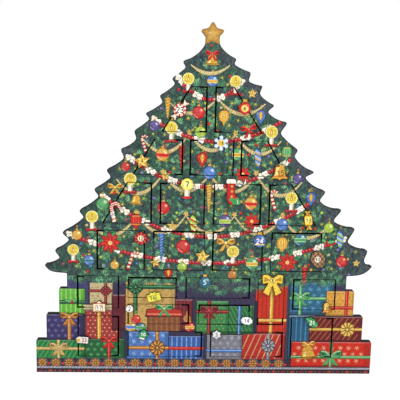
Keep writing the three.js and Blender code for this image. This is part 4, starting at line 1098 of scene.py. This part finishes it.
def bead(x, z, r=2.8):
    discs(x, z, (r * 1.12, "#420a14"), (r * 0.92, "#b11c2a"), steps=9)
    disc(x - r * 0.25, z + r * 0.3, r * 0.34, "#d8746a", 7)


def garland(z, sag, tilt):
    """Grains and beads threaded at even distances on one long sag from flank to flank."""
    low, high = flanks(z)
    path = sag_path(low + 7, z + tilt, high - 7, z - tilt, sag, 120)
    travelled, due, count = 0.0, 0.0, 0
    for a, b in zip(path, path[1:]):
        length = math.dist(a, b)
        while due <= travelled + length:
            x, y = between(a, b, (due - travelled) / length)
            if count % 6 < 2:
                popcorn(x, y, math.atan2(b[1] - a[1], b[0] - a[0]) + jitter(-0.6, 0.6))
            else:
                bead(x, y)
            due += (6.4, 5.5, 4.4, 4.4, 4.4, 5.7)[count % 6]
            count += 1
        travelled += length


# Height, sag and tilt
for row in ((400, 27, 0.0), (346, 27, 0.0), (297, 38, -1.0), (244, 52, 0.0), (192, 36, 1.0)):
    garland(*row)
print("shapes with the strings:", len(picture))

# %% [markdown]
# ## Hanging the ornaments
# With the motifs as functions, decorating the tree is a table as well: what, where, how big, and in
# which colour.

# %% Ornaments on the tree
paint_all([
    (bell, 0, 423, 12), (bow, 0, 431, 9, "red"),
    (candle, -30, 399, 7.6), (ball, 1, 397, 7.4, "blue", "gold"), (candle, 31, 397, 7.6),
    (icicle, -56, 374, 26, "gold"), (star, 53, 382, 6.8), (ball, -16, 356, 8.4, "red"),
    (lantern, 17, 352, 7.4, "gold"), (ball, -73, 338, 7.0, "purple"), (drop, 65, 354, 7.0, "blue", "gold"),
    (candle, -51, 336, 8.2), (ball, -13, 331, 7.6, "lime"), (bow, 50, 336, 11, "red", 0.2),
    (candle, 80, 333, 8.2), (cane, -84, 317, 22, 0.3), (ball, -62, 301, 8.8, "gold", "red"),
    (icicle, -37, 313, 32, "red"), (drop, -10, 297, 7.6, "red", "gold"),
    (ball, 37, 303, 8.8, "green", "gold"),
    (spindle, 63, 298, 28, "blue", "gold"), (ball, -110, 284, 6.2, "red"), (lantern, 101, 307, 7.4, "green"),
    (star, -58, 273, 7.4, 0.2), (ball, 0, 278, 9.0, "blue"), (poinsettia, 44, 277, 13),
    (candle, -104, 268, 8.2), (ball, 117, 272, 7.0, "purple"), (bow, -124, 257, 10, "gold"),
    (ball, -140, 234, 8.6, "green"), (bell, -96, 240, 11, -0.1), (ball, -60, 230, 8.6, "red"),
    (icicle, 0, 262, 38, "gold"), (ball, 56, 238, 8.8, "gold", "red"), (cane, 88, 246, 26, 0.3),
    (candle, 110, 246, 8.2), (drop, 136, 247, 7.0, "blue", "gold"), (candle, -154, 217, 8.2),
    (lantern, -96, 213, 8.0, "red"), (star, -48, 206, 7.4), (spindle, -20, 208, 28, "lime", "red"),
    (ball, 22, 214, 8.8, "purple", "lime"), (poinsettia, 58, 214, 14), (ball, 99, 210, 8.4, "blue"),
    (ball, 162, 206, 7.0, "lime"), (ball, -174, 192, 6.8, "gold"), (poinsettia, -130, 182, 18),
    (icicle, -62, 196, 38, "blue"), (ball, -33, 178, 9.6, "red"), (bow, 24, 184, 13, "gold"),
    (lantern, 100, 184, 8.2, "gold"), (ball, 124, 190, 9.2, "teal", "green"),
    (spindle, 178, 190, 28, "blue", "lime"),
    (candle, -179, 172, 7.6), (ball, -158, 158, 7.2, "blue", "teal"), (cane, -98, 160, 26, -0.3),
    (star, -70, 156, 7.4, 0.3), (candle, 34, 172, 8.2), (ball, 60, 156, 8.8, "green", "gold"),
    (poinsettia, 108, 158, 17), (ball, 182, 160, 8.0, "red"), (star, 202, 158, 5.6),
    (ball, -34, 150, 6.6, "lime"),
    (ball, -124, 152, 5.8, "gold"), (icicle, 132, 152, 24, "red"), (drop, -52, 142, 6.0, "red", "gold"),
    (ball, 34, 140, 6.4, "orange"), (holly, 160, 186, 12, -0.2), (holly, 60, 316, 11, 0.4),
])
print("shapes with the ornaments:", len(picture))

# %% [markdown]
# ## The tip
# The star on top is painted in ochre down to the neck, in four shades one inside the other.

# %% Star on top
TIP_Z = 455.6
NECK = [(-20, 448), (-7.6, 446.4), (-4, 449.6), (0, 450.6), (4, 449.4), (7.6, 446), (20, 448)]
paint([(-20, 480)] + NECK + [(20, 480)], "#8a6126")
for reach, colour in ((15.6, "#9d7230"), (13.2, "#b08338"), (10.0, "#bb9044"), (6.4, "#c49c50")):
    corners = []
    for i in range(10):
        a = math.pi / 2 + math.pi * i / 5
        r = reach * (1.0 if i % 2 == 0 else 0.6)
        corners.append((r * math.cos(a), TIP_Z + r * math.sin(a)))
    paint(corners, colour)
disc(-3.4, TIP_Z + 1.6, 1.3, "#d6b06a", 8, 1.6, 0.5)
berry(-1.5, 441.5, 1.7, "red")
print("shapes of the whole picture:", len(picture))

# %% [markdown]
# ## From shapes to a printed sheet
# Thousands of overlapping shapes have to become one clean sheet. A constrained triangulation cuts
# all their outlines at their crossings and says, for each small triangle, which shapes hold it. The
# last painted of those gives its colour. Triangles outside the board's rim are dropped, which is
# what the saw did to the real print. The sheet then gets a back and a rim of its own, as paper has.

# %% Sheet maker
PAPER_THICKNESS = 0.15
BARE_PAPER, PAPER_RIM = (hue("#3a4a45"), 0.0), (hue("#2a2624"), 0.0)
COVER_AREA = 12.0


def bounds_of(points):
    xs, zs = [p[0] for p in points], [p[1] for p in points]
    return min(xs), max(xs), min(zs), max(zs)


def holds(points, x, z):
    """Whether a place lies inside an outline."""
    inside = False
    for (x0, z0), (x1, z1) in zip(points, points[1:] + points[:1]):
        if (z0 > z) != (z1 > z) and x < (x1 - x0) * (z - z0) / (z1 - z0) + x0:
            inside = not inside
    return inside


def triangulate(loops, shapes=()):
    """Triangles inside the first loop and outside the others, with the top shape of each."""
    corners, faces = [], []
    for points in [*loops, *(shape[0] for shape in shapes)]:
        faces.append(list(range(len(corners), len(corners) + len(points))))
        corners += [Vector(p) for p in (points if area(points) > 0 else points[::-1])]
    found = delaunay_2d_cdt(corners, [], faces, 0, 1e-4, True)
    places, inside = found[0], []
    for triangle, holders in zip(found[2], found[5]):
        x, z = (sum(places[i][axis] for i in triangle) / 3 for axis in (0, 1))
        if 0 not in holders or any(0 < holder < len(loops) for holder in holders):
            continue
        candidates = (shapes[i - len(loops)] for i in sorted(holders, reverse=True) if i >= len(loops))
        inside.append((triangle, next((shape for shape in candidates if holds(shape[0], x, z)), None)))
    return places, inside


def printed_sheet(name, node, shapes, body):
    """A thin printed sheet on the front face of a board, cut to its rim."""
    loops, board_front = board_loops(node)
    x0, x1, z0, z1 = bounds_of(loops[0])
    near = []
    for shape in shapes:
        a0, a1, b0, b1 = bounds_of(shape[0])
        if a1 > x0 and a0 < x1 and b1 > z0 and b0 < z1:
            near.append(shape)
    places, inside = triangulate(loops, near)
    back = board_front / MM
    used = sorted({i for triangle, _ in inside for i in triangle})
    renumber = {old: new for new, old in enumerate(used)}
    corners = [(places[i][0] * MM, (back - PAPER_THICKNESS) * MM, places[i][1] * MM) for i in used]
    faces = [[renumber[i] for i in triangle] for triangle, _ in inside]
    looks = [shape[1:] if shape else BARE_PAPER for _, shape in inside]
    # The back is cut from the same rims, so that it meets the front corner by corner
    flat = {i: (x / MM, z / MM) for i, (x, _, z) in enumerate(corners)}
    rims = sorted(rims_of(faces), key=lambda rim: -abs(area([flat[i] for i in rim])))
    behind = {}
    for i in (i for rim in rims for i in rim):
        behind[tuple(round(level, 3) for level in flat[i])] = len(corners)
        corners.append((corners[i][0], back * MM, corners[i][2]))
    back_places, back_inside = triangulate([[flat[i] for i in rim] for rim in rims])
    for triangle, _ in back_inside:
        keys = [(round(back_places[i][0], 3), round(back_places[i][1], 3)) for i in triangle]
        if all(key in behind for key in keys):
            faces.append([behind[key] for key in reversed(keys)])
    for rim in rims:
        for a, b in zip(rim, rim[1:] + rim[:1]):
            faces.append([b, a] + [behind[tuple(round(level, 3) for level in flat[i])] for i in (a, b)])
    looks += [PAPER_RIM] * (len(faces) - len(looks))
    mesh = bpy.data.meshes.new(name)
    mesh.from_pydata(corners, [], faces)
    levels = [level for face, (ink, _) in zip(mesh.polygons, looks) for level in ink * face.loop_total]
    mesh.color_attributes.new("ink", "FLOAT_COLOR", "CORNER").data.foreach_set("color", levels)
    mesh.attributes.new("foliage", "FLOAT", "FACE").data.foreach_set("value", [leaf for _, leaf in looks])
    mesh.materials.append(PAPER)
    mesh.update()
    sheet = placed(name, mesh)
    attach(sheet, body)
    return sheet


def dentless(points):
    """Whether an outline that runs counter-clockwise never turns inwards."""
    return all((b[0] - a[0]) * (c[1] - b[1]) >= (b[1] - a[1]) * (c[0] - b[0])
               for a, b, c in zip(points, points[1:] + points[:1], points[2:] + points[:2]))


def unhidden(shapes):
    """The shapes without those that one later shape covers whole, which would only cut up the mesh."""
    covers = [(i, shape[0], bounds_of(shape[0])) for i, shape in enumerate(shapes)
              if area(shape[0]) > COVER_AREA and dentless(shape[0])]
    kept = []
    for i, shape in enumerate(shapes):
        x0, x1, z0, z1 = bounds_of(shape[0])
        if not any(i < j and a0 <= x0 and a1 >= x1 and b0 <= z0 and b1 >= z1
                   and all(holds(points, x, z) for x, z in shape[0])
                   for j, points, (a0, a1, b0, b1) in covers):
            kept.append(shape)
    return kept


picture = unhidden(picture)
print("shapes that show:", len(picture))
panel_print = printed_sheet("front_print", "front_panel", picture, BOX)
print("faces of the front's print:", len(panel_print.data.polygons))
DOOR_NUMBERS = sorted(int(name[-2:]) for name in nodes if name.startswith("door_"))
for n in DOOR_NUMBERS:
    printed_sheet(f"door_print_{n:02d}", f"door_{n:02d}", picture, f"door_{n:02d}_body")
print("printed doors:", len(DOOR_NUMBERS))

# %% [markdown]
# ## The number tabs
# Each tab is a thick little picture of its own, cut to shape. A table gives its paper, its darker rim
# and the look of its number. What else stands on it is painted round the middle of the tab's box, on
# a layer of its own, and then made a sheet in the same way.

# %% Papers and numbers of the tabs
TABS = {  # rim, paper inside it (if any), its distance, height of the number, its colour and pen
    1: (RED_DARK, RED, 0.7, 4.6, CREAM, 0.2), 2: ("#b9ac94", "#fbf8f0", 0.7, 5.4, INK, 0.17),
    3: ("#77777f", "#e4e4e6", 0.5, 5.0, INK, 0.17), 4: (GOLD_DARK, None, 0, 5.2, "#6a3b12", 0.18),
    5: (GOLD, None, 0, 6.2, "#e6f4f4", 0.18), 6: (GOLD, None, 0, 4.6, INK, 0.18),
    7: (RED_DARK, None, 0, 7.4, "#2b2a12", 0.17), 8: (GOLD_DARK, "#efc938", 0.6, 4.8, INK, 0.18),
    9: (GOLD_DARK, None, 0, 5.2, "#6a3b12", 0.18), 10: (GREEN_DARK, "#2f9a5c", 0.7, 4.8, "#f6f3e8", 0.2),
    11: ("#3c2618", "#8a6244", 0.5, 4.6, INK, 0.18), 12: (RED_DARK, RED, 0.7, 4.6, INK, 0.17),
    13: (GOLD_DARK, "#efc93a", 0.7, 5.0, INK, 0.18), 14: ("#9aa0ac", "#fcfcfa", 0.5, 5.0, INK, 0.17),
    15: (GOLD_DARK, GOLD, 0.7, None, "#5c3a12", 0.17), 16: ("#8f8420", "#f1e252", 0.7, 5.4, "#2c4a22", 0.18),
    17: ("#8a4a1e", "#efe2c2", 0.7, 5.0, INK, 0.18), 18: ("#6f8fc0", "#dbe7f6", 0.5, 4.4, INK, 0.17),
    19: (GOLD_DARK, GOLD, 0.7, None, "#5c3a12", 0.17), 20: (RED_DARK, CREAM, 0.5, 4.2, INK, 0.18),
    21: (GREEN_DARK, "#2f9150", 0.5, 5.4, "#f6f3e8", 0.19),
    22: ("#2b2a30", "#e8e4da", 0.8, 4.6, "#a32026", 0.2),
    23: ("#8f2430", CREAM, 0.7, 7.0, INK, 0.16), 24: (GOLD, None, 0, 6.6, "#f6f3ff", 0.19)}
TURNS = {15: 0.1, 16: 0.2, 19: 0.1}
BELL_NUMBER = 0.3  # height of a number on a bell, as a share of the tab's


def inset_loop(loop, inset):
    """A rim drawn in a little, so that a darker edge stays round it."""
    if area(loop) < 0:
        loop = loop[::-1]
    points = []
    for i, (x, z) in enumerate(loop):
        (ax, az), (bx, bz) = loop[i - 1], loop[(i + 1) % len(loop)]
        lu, lv = math.hypot(x - ax, z - az) or 1, math.hypot(bx - x, bz - z) or 1
        nx, nz = -((z - az) / lu + (bz - z) / lv), (x - ax) / lu + (bx - x) / lv
        ln = math.hypot(nx, nz) or 1
        points.append((x + inset * nx / ln, z + inset * nz / ln))
    return points


print("tabs with a number:", len(TABS))

# %% Art of the round and pointed tabs


def tab_ball(n, x, z, wide, high):
    """A glass ball."""
    main, light, dark = PAINTS[{5: "teal", 6: "red", 24: "blue"}[n]]
    r = wide / 2
    z -= (high - wide) / 2
    discs(x, z, (r * 1.02, dark), (r * 0.92, main), steps=24)
    if n == 24:
        tone = PAINTS["purple"][0]
        for low, top, colour in ((-0.7, -0.5, GOLD_LIGHT), (-0.5, -0.16, tone), (0.3, 0.55, tone)):
            belt(x, z, r * 0.9, low, top, colour)
    if n == 6:
        discs(x, z, (r * 0.6, "#e6c25a"), (r * 0.46, GOLD_LIGHT), steps=18)
    disc(x + r * 0.45, z + r * 0.45, r * 0.2, light, 10, 1.4, -0.7)
    return x, z


def tab_star(x, z, rim):
    """A folded star that points the way the tab's farthest tip does."""
    tip = max(rim, key=lambda point: math.dist(point, (x, z)))
    reach = math.dist(tip, (x, z))
    star(x, z, reach * 1.04, math.atan2(tip[1] - z, tip[0] - x) - math.pi / 2, 0.5)
    disc(x, z, reach * 0.36, "#f4d564", 12)


def tab_sweet(x, z):
    """A round sweet with eight swirls."""
    swirl = [(0.25, 0), (0.6, 0.12), (1.0, 0.1), (1.0, -0.28), (0.6, -0.16)]
    for i in range(8):
        put(swirl, (x, z, 2 * math.pi * i / 8, 8.0), RED)
    disc(x, z, 8.0 * 0.66, "#f8f0e4", 16)


def tab_cone(x, z, high):
    """A fir cone with rows of scales."""
    for k in range(6):
        top = z + high * (0.36 - 0.145 * k)
        for u in range(-3, 4):
            paint([(x + u * 3.1 - 1.6, top), (x + u * 3.1 + 1.6, top), (x + u * 3.1, top - 3.2)],
                  ("#5c3b26", "#a98563")[(u + k) % 2])
    disc(x, z, 4.3, "#e9dcc2")


def tab_wrapped_sweet(x, z, high):
    """A sweet in paper that is tied at both ends."""
    for knot in (z - high * 0.24, z + high * 0.24):
        end = z + (high * 0.5 if knot > z else -high * 0.5)
        for k in range(-2, 3):
            stroke([(x, knot), (x + k * 1.9, end)], 0.6, "#a9701f")
        rect(x - 4.4, x + 4.4, knot - 0.9, knot + 0.9, "#b97e22")
    disc(x, z, 4.6, "#fbe77a")


def tab_bow(x, z, high):
    """A big bow, with its knot's place."""
    knot = z + high * 0.22
    for side in (-1, 1):
        paint([(x + side * 2, knot), (x + side * 11, z + high * 0.4), (x + side * 12, z + high * 0.16)],
              "#b88a1c")
        stroke([(x + side * 2, z + high * 0.12), (x + side * 9, z - high * 0.4)], 1.0, GOLD_LIGHT)
        stroke([(x + side * 3, z + high * 0.26), (x + side * 12, z + high * 0.44)], 1.2, GOLD_LIGHT)
    discs(x, knot, (3.9, GOLD_DARK), (3.3, "#fbe77a"))
    return x, knot


print("painters of tabs are ready")

# %% Paint and cut the tabs


def tab_art(n, x, z, wide, high, rim):
    """Paints what is on one tab, and gives the place of its number."""
    if n in (5, 6, 24):
        return tab_ball(n, x, z, wide, high)
    if n == 8:
        return tab_bow(x, z, high)
    if n in (4, 9):
        tab_star(x, z, rim)
    elif n == 23:
        tab_sweet(x, z)
    elif n == 11:
        tab_cone(x, z, high)
    elif n == 13:
        tab_wrapped_sweet(x, z, high)
    elif n == 18:
        discs(x, z, (4.9, "#9bb7e0"), (4.3, "#f6d24f"), steps=16)
    elif n == 12:
        rosette(x, z, 8.4, "red", 9)
        disc(x, z, 4.2, "#f6e3c0")
    elif n in (15, 19):
        shares = [(-0.2, 0.4), (-0.02, 0.42), (-0.1, -0.2), (-0.36, -0.26), (-0.25, 0)]
        paint([(x + wide * u, z + high * v) for u, v in shares], GOLD_LIGHT)
        stroke([(x - wide * 0.46, z - high * 0.24), (x + wide * 0.46, z - high * 0.24)], 1.3, "#c9642a")
        if n == 15:
            holly(x - 3, z + high * 0.38, 9.5, 0.3)
        return x + wide * 0.04, z - high * 0.06
    elif n == 20:
        for k in range(12):
            low = z - high * 0.5 + k * high * 0.1
            stroke([(x - wide, low), (x + wide, low + wide * 0.7)], 1.3, RED)
        x, z = x - wide * 0.16, z - high * 0.12
        disc(x, z, 4.4, "#f8f0e4")
    elif n == 7:
        flame = z + high / 2 - 8.6
        discs(x, flame, (8.8, "#a08f3a"), (8.0, "#f5e15a"), steps=24)
        disc(x, flame, 5.4, "#faf09a", 18)
        rect(x - 3.4, x + 3.4, z - high * 0.36, z - high * 0.06, "#d8c7a8")
        rect(x - 2.4, x + 1.0, z - high * 0.36, z - high * 0.06, "#f8efdc")
        rect(x - 8, x + 8, z - high * 0.52, z - high * 0.36, "#c2302e")
        return x, flame
    elif n == 1:
        rect(x - wide, x + wide, z + high * 0.33, z + high * 0.5, "#e9dfca")
        rect(x - wide, x + wide, z + high * 0.36, z + high * 0.47, "#fbf6ea")
        disc(x + wide * 0.3, z - high * 0.4, wide * 0.3, "#3f9a56", 14, 1.3)
        disc(x - wide * 0.14, z - high * 0.3, wide * 0.14, "#3f9a56", 10)
        for k in range(3):
            star(x - wide * 0.12, z + high * (0.22 - 0.2 * k), 2.4)
        return x + wide * 0.28, z - high * 0.4
    elif n == 17:
        for half, low, top, colour in ((0.5, 0.2, 0.27, RED), (0.28, -0.42, 0.12, "#c98a3a"),
                                       (0.22, -0.36, 0.08, "#fbf6ea")):
            rect(x - wide * half, x + wide * half, z + high * low, z + high * top, colour)
        return x, z - high * 0.14
    elif n == 22:
        disc(x - wide * 0.27, z, 2.6, "#e0b52c", 12)
        disc(x - wide * 0.4, z, 0.9, "#2b2a30", 8)
        return x + wide * 0.16, z
    elif n == 16:
        stroke([(x - wide * 0.46, z + 0.6), (x + wide * 0.46, z + 4.2)], 1.2, "#cfae2c")
        stroke([(x + wide * 0.2, z - high * 0.4), (x + wide * 0.1, z + high * 0.3)], 1.6, "#7fae3c")
        return x - wide * 0.08, z - high * 0.08
    elif n == 10:
        stroke([(x - 5.5, z - 4.4), (x + 3.5, z - 6.4)], 2.0, "#f2ead8")
        return x - 0.4, z + 0.6
    elif n == 21:
        stroke([(x - 9, z + 6), (x + 8, z - 6)], 0.7, GREEN_LIGHT)
        disc(x + wide * 0.4, z - high * 0.38, 1.6, RED, 9)
    return x, z


for n in DOOR_NUMBERS:
    tab = f"number_tab_{n:02d}"
    edge, paper, inset, height, colour, pen_width = TABS[n]
    low, high = (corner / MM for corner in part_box(tab))
    x, z, wide, tall = (low.x + high.x) / 2, (low.z + high.z) / 2, high.x - low.x, high.z - low.z
    rim = board_loops(tab)[0][0]
    brush["layer"] = []
    rect(x - wide, x + wide, z - tall, z + tall, edge)
    if paper:
        paint(inset_loop(rim, inset), paper)
    spot = tab_art(n, x, z, wide, tall, rim)
    number(n, *spot, height or tall * BELL_NUMBER, colour, pen_width, TURNS.get(n, 0.0))
    printed_sheet(f"tab_print_{n:02d}", tab, brush["layer"], f"door_{n:02d}_body")
print("printed tabs:", len(DOOR_NUMBERS))

# %% [markdown]
# ## Nails of the back, by Geometry Nodes
# The hardboard back is held by small round-headed nails at even distances along its edge. This is
# what Geometry Nodes are for: a line, points at a spacing, and one nail on each point.

# %% Nails along the back
NAIL_RADIUS, NAIL_SPACING, NAIL_INSET, NAIL_SINK = 1.7, 34.0, 2.6, 0.1
NAIL_FLATTENED = (1.0, 0.45, 1.0)


def nail_tree():
    tree = bpy.data.node_groups.new("nails_on_line", "GeometryNodeTree")
    for label, kind in (("Geometry", "Geometry"), ("Spacing", "Float"), ("Radius", "Float")):
        tree.interface.new_socket(label, in_out="INPUT", socket_type="NodeSocket" + kind)
    tree.interface.new_socket("Geometry", in_out="OUTPUT", socket_type="NodeSocketGeometry")
    given = tree.nodes.new("NodeGroupInput").outputs
    line = add(tree, "MeshToCurve", {"Mesh": given["Geometry"]})
    points = add(tree, "CurveToPoints", {"Curve": line, "Length": given["Spacing"]}, mode="LENGTH")
    head = add(tree, "MeshUVSphere", {"Segments": 12, "Rings": 6, "Radius": given["Radius"]})
    nail = add(tree, "Transform", {"Geometry": head, "Scale": NAIL_FLATTENED})
    row = add(tree, "InstanceOnPoints", {"Points": points, "Instance": nail})
    row = add(tree, "RealizeInstances", {"Geometry": row})
    finish = add(tree, "SetMaterial", {"Geometry": row, "Material": STEEL})
    wire(tree.nodes.new("NodeGroupOutput"), {"Geometry": finish})
    return tree


def settle(obj):
    """Turns a modifier's result into a plain mesh."""
    graph = bpy.context.evaluated_depsgraph_get()
    made = bpy.data.meshes.new_from_object(obj.evaluated_get(graph))
    obj.modifiers.clear()
    obj.data = made


rear_rims, rear_y = board_loops("back_panel", REAR)
start = rear_rims[0].index(min(rear_rims[0]))
rear_line = inset_loop(rear_rims[0][start:] + rear_rims[0][:start], NAIL_INSET)
line_mesh = bpy.data.meshes.new("back_nails")
line_mesh.from_pydata([(x * MM, rear_y - NAIL_SINK * MM, z * MM) for x, z in rear_line],
                      [(i, (i + 1) % len(rear_line)) for i in range(len(rear_line))], [])
nails = placed("back_nails", line_mesh)
modifier = nails.modifiers.new("nails", "NODES")
modifier.node_group = nail_tree()
for item in modifier.node_group.interface.items_tree:
    if item.name in ("Spacing", "Radius"):
        modifier[item.identifier] = {"Spacing": NAIL_SPACING, "Radius": NAIL_RADIUS}[item.name] * MM
settle(nails)
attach(nails, BOX)
print("faces of the nails:", len(nails.data.polygons))

# %% [markdown]
# ## Sleeves on the hinge pins
# Each door turns on two pins in its edge. Where a pin crosses the wide gap, a short black steel
# sleeve keeps the door off the front. It is a turned ring, made with its hole, so it is a lathe job: the
# same profile spun round the pin's line for each end of each door.

# %% Hinge sleeves
SLEEVE_INNER, SLEEVE_OUTER, SLEEVE_SIDES, SLEEVE_LENGTH = 1.02, 1.7, 20, 1.8
HINGE_GAP, PIN_IN_FRONT = 2.3, 4.0


def sleeve(bm, middle, along):
    """A short tube round a line through a point, in mm."""
    across = Vector((0, 1, 0))
    third = along.cross(across)
    angles = [2 * math.pi * i / SLEEVE_SIDES for i in range(SLEEVE_SIDES)]
    spokes = [across * math.cos(a) + third * math.sin(a) for a in angles]
    low_in, low_out, high_in, high_out = (
        [bm.verts.new((middle + along * end + spoke * r) * MM) for spoke in spokes]
        for end in (-SLEEVE_LENGTH / 2, SLEEVE_LENGTH / 2) for r in (SLEEVE_INNER, SLEEVE_OUTER))
    for a, b in ((low_in, low_out), (low_out, high_out), (high_out, high_in), (high_in, low_in)):
        for i in range(SLEEVE_SIDES):
            j = (i + 1) % SLEEVE_SIDES
            bm.faces.new((a[i], a[j], b[j], b[i]))


def hinge_sleeves(joint):
    n = joint["child"][5:7]
    pin = Vector(joint["pos_m"]) / MM
    along = Vector([abs(c) for c in joint["axis"]])
    low, high = (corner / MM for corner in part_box(f"door_{n}"))
    reach = PIN_IN_FRONT + HINGE_GAP / 2
    bm = bmesh.new()
    for gap_middle in (low.dot(along) + reach, high.dot(along) - reach):
        sleeve(bm, pin + along * (gap_middle - pin.dot(along)), along)
    bmesh.ops.recalc_face_normals(bm, faces=bm.faces)
    mesh = bpy.data.meshes.new(f"hinge_sleeves_{n}")
    bm.to_mesh(mesh)
    bm.free()
    mesh.materials.append(BLACK_STEEL)
    piece = placed(mesh.name, mesh)
    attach(piece, joint["child"])


for joint in frame["joints"]:
    hinge_sleeves(joint)

# %% [markdown]
# ## Floor, sky and lamps
# The object stands on a pale floor under soft studio light. The background shows as plain white to
# the camera through Light Path, so that it needs no extra light, and the floor keeps a soft shadow.

# %% Stage
SKY_LEVEL, FLOOR_GLOW, FLOOR_SHARE, FLOOR_HALF = 0.5, 1.1, 0.86, 6.0
LAMPS = [("left_lamp", (-1.1, -1.0, 1.2), 0.7, 16.0), ("right_lamp", (1.1, -1.0, 1.2), 0.7, 16.0),
         ("back_lamp", (0.6, 1.4, 1.3), 1.2, 6.0)]
LAMPS_AIM = Vector((0, 0, 0.2))


def stage_floor():
    material, tree, shader, _ = new_material("studio_floor")
    wire(shader, {"Base Color": hue(0.86), "Roughness": 0.9})
    glow = add(tree, "Emission", {"Color": hue(1.0), "Strength": FLOOR_GLOW})
    seen = add(tree, "LightPath").outputs["Is Camera Ray"]
    share = add(tree, "Math", {0: seen, 1: FLOOR_SHARE}, operation="MULTIPLY")
    mix = add(tree, "MixShader", {0: share, 1: shader, 2: glow})
    wire(tree.nodes["Material Output"], {"Surface": mix})
    mesh = bpy.data.meshes.new("studio_floor")
    corners = [(x * FLOOR_HALF, y * FLOOR_HALF, 0) for x, y in ((-1, -1), (1, -1), (1, 1), (-1, 1))]
    mesh.from_pydata(corners, [], [(0, 1, 2, 3)])
    mesh.materials.append(material)
    placed("studio_floor", mesh)


def sky():
    world = bpy.data.worlds.new("studio")
    world.use_nodes = True
    bpy.context.scene.world = world
    tree = world.node_tree
    seen = add(tree, "LightPath").outputs
    first = add(tree, "Math", {0: seen["Is Camera Ray"], 1: seen["Is Glossy Ray"]}, operation="MAXIMUM")
    second = add(tree, "Math", {0: first, 1: seen["Is Transmission Ray"]}, operation="MAXIMUM")
    wire(tree.nodes["Background"], {"Color": hue(1.0), "Strength": span(tree, second, SKY_LEVEL, 1.0)})


stage_floor()
sky()
for name, place, size, watts in LAMPS:
    light = bpy.data.lights.new(name, "AREA")
    light.size, light.energy = size, watts
    lamp = placed(name, light)
    lamp.location = place
    lamp.rotation_euler = (LAMPS_AIM - Vector(place)).to_track_quat("-Z", "Y").to_euler()
bpy.context.scene.view_settings.view_transform = "Standard"
print("lamps:", len(LAMPS))
